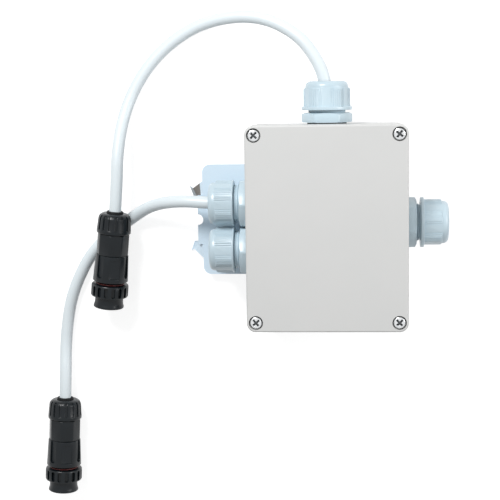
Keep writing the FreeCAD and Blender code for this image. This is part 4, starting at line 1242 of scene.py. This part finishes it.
@dataclass
class Cables:
    """The two round cables, each one smooth spline from its gland to its connector."""

    diameter: float = 0.0072
    socket: float = 0.006
    steps: int = 24
    order: int = 3
    round_steps: int = 8

    def build(self, run: CableRun, pieces: list[bpy.types.Object]) -> None:
        """Args:
            run: The cable's route and length.
            pieces: What is on its far end; not used.
        """
        way = run.connector.way()
        mouth = Vector(run.connector.at) * MM
        points = [Vector(point) for point in run.route]
        points += [mouth - way * run.last_run, mouth + way * self.socket]
        curve = bpy.data.curves.new(f"{run.name}_jacket", "CURVE")
        curve.dimensions = "3D"
        spline = curve.splines.new("NURBS")
        spline.points.add(len(points) - 1)
        for slot, point in zip(spline.points, points):
            slot.co = (*point, 1.0)
        spline.order_u = self.order
        spline.use_endpoint_u = True
        curve.resolution_u = self.steps
        curve.bevel_depth = self.diameter / 2
        curve.bevel_resolution = self.round_steps
        curve.use_fill_caps = True
        cable = bpy.data.objects.new(f"{run.name}_jacket", curve)
        bpy.context.collection.objects.link(cable)
        hand_in(cable, JACKET_PVC, "box", run.name)


@dataclass
class Studio:
    """White floor and world, a key lamp from the upper left, a fill lamp from the right and the camera.

    Places are in metres, and the camera's turns are in degrees.
    """

    camera_at: Triple = (0.0107, 0.0844, 0.7667)
    camera_turn: Triple = (-7.76, 4.21, -0.87)
    sensor_width: float = 36.0
    lens: float = 92.58
    nearest: float = 0.01
    floor_size: float = 4.0
    floor_gap: float = 0.2
    floor_colour: str = "#B4B4B4"
    floor_roughness: float = 0.9
    floor_glow: float = 0.8
    world_strength: float = 0.36
    key_at: Triple = (-0.34, 0.58, 0.68)
    key_power: float = 6.6
    fill_at: Triple = (0.62, 0.12, 0.36)
    fill_power: float = 2.1
    lamp_size: float = 0.28
    lamp_aim: Triple = (-0.04, 0, 0)

    def camera(self) -> None:
        """Sets the camera where the photograph was taken."""
        data = bpy.data.cameras.new("camera")
        data.sensor_width = self.sensor_width
        data.lens = self.lens
        data.clip_start = self.nearest
        camera = bpy.data.objects.new("camera", data)
        camera.location = self.camera_at
        camera.rotation_euler = [math.radians(angle) for angle in self.camera_turn]
        bpy.context.collection.objects.link(camera)
        bpy.context.scene.camera = camera

    def lamp(self, name: str, at: Triple, power: float) -> None:
        """Adds one soft square lamp that points at the object.

        Args:
            name: Its name.
            at: Where it hangs, in metres.
            power: Its power in watts.
        """
        data = bpy.data.lights.new(name, "AREA")
        data.energy = power
        data.size = self.lamp_size
        lamp = bpy.data.objects.new(name, data)
        lamp.location = at
        lamp.rotation_euler = (Vector(self.lamp_aim) - Vector(at)).to_track_quat("-Z", "Y").to_euler()
        bpy.context.collection.objects.link(lamp)

    def seen(self, tree: bpy.types.NodeTree) -> bpy.types.NodeSocket:
        """One for camera, glossy and transmission rays, which see the white studio, or else zero.

        Args:
            tree: The node tree that gets the nodes.

        Returns:
            The socket with the answer.
        """
        path = add_node(tree, "ShaderNodeLightPath").outputs
        total = add_node(tree, "ShaderNodeMath", {0: path["Is Camera Ray"], 1: path["Is Glossy Ray"]},
                         operation="ADD")
        return add_node(tree, "ShaderNodeMath", {0: total.outputs[0], 1: path["Is Transmission Ray"]},
                        operation="ADD", use_clamp=True).outputs[0]

    def world(self) -> None:
        """Makes the world white where it is seen and dimmer where it lights the object."""
        world = bpy.data.worlds.new("studio")
        bpy.context.scene.world = world
        world.use_nodes = True
        tree = world.node_tree
        background = tree.nodes["Background"].inputs
        strength = add_node(tree, "ShaderNodeMapRange", {
            "Value": self.seen(tree), "To Min": self.world_strength, "To Max": 1.0})
        tree.links.new(strength.outputs["Result"], background["Strength"])
        background["Color"].default_value = WHITE

    def floor(self) -> None:
        """Lays the floor, which looks white and keeps a faint shadow of the object."""
        bpy.ops.object.select_all(action="DESELECT")
        bpy.ops.mesh.primitive_plane_add(size=self.floor_size, location=(0, 0, -self.floor_gap * MM))
        floor = bpy.context.object
        floor.name = "floor"
        material = bpy.data.materials.new("white_paper_floor")
        material.use_nodes = True
        tree = material.node_tree
        shader = tree.nodes["Principled BSDF"].inputs
        shader["Base Color"].default_value = linear(self.floor_colour)
        shader["Roughness"].default_value = self.floor_roughness
        shader["Emission Color"].default_value = WHITE
        glow = add_node(tree, "ShaderNodeMapRange", {
            "Value": self.seen(tree), "To Min": 0.0, "To Max": self.floor_glow})
        tree.links.new(glow.outputs["Result"], shader["Emission Strength"])
        floor.data.materials.append(material)

    def build(self) -> None:
        """Sets up everything round the object."""
        bpy.context.scene.view_settings.view_transform = "Standard"
        self.camera()
        self.lamp("key", self.key_at, self.key_power)
        self.lamp("fill", self.fill_at, self.fill_power)
        self.world()
        self.floor()


def main() -> None:
    """Builds the sub-assemblies in order, then the studio."""
    logging.basicConfig(level=logging.INFO, format="%(name)s: %(message)s")
    Enclosure().dress()
    LidScrews().build()
    CableGland().build()
    made = Connector().build()
    cables = Cables()
    cables.build(TOP_CABLE, made["upper"])
    cables.build(LEFT_CABLE, made["lower"])
    Studio().build()


if __name__ == "__main__":
    main()
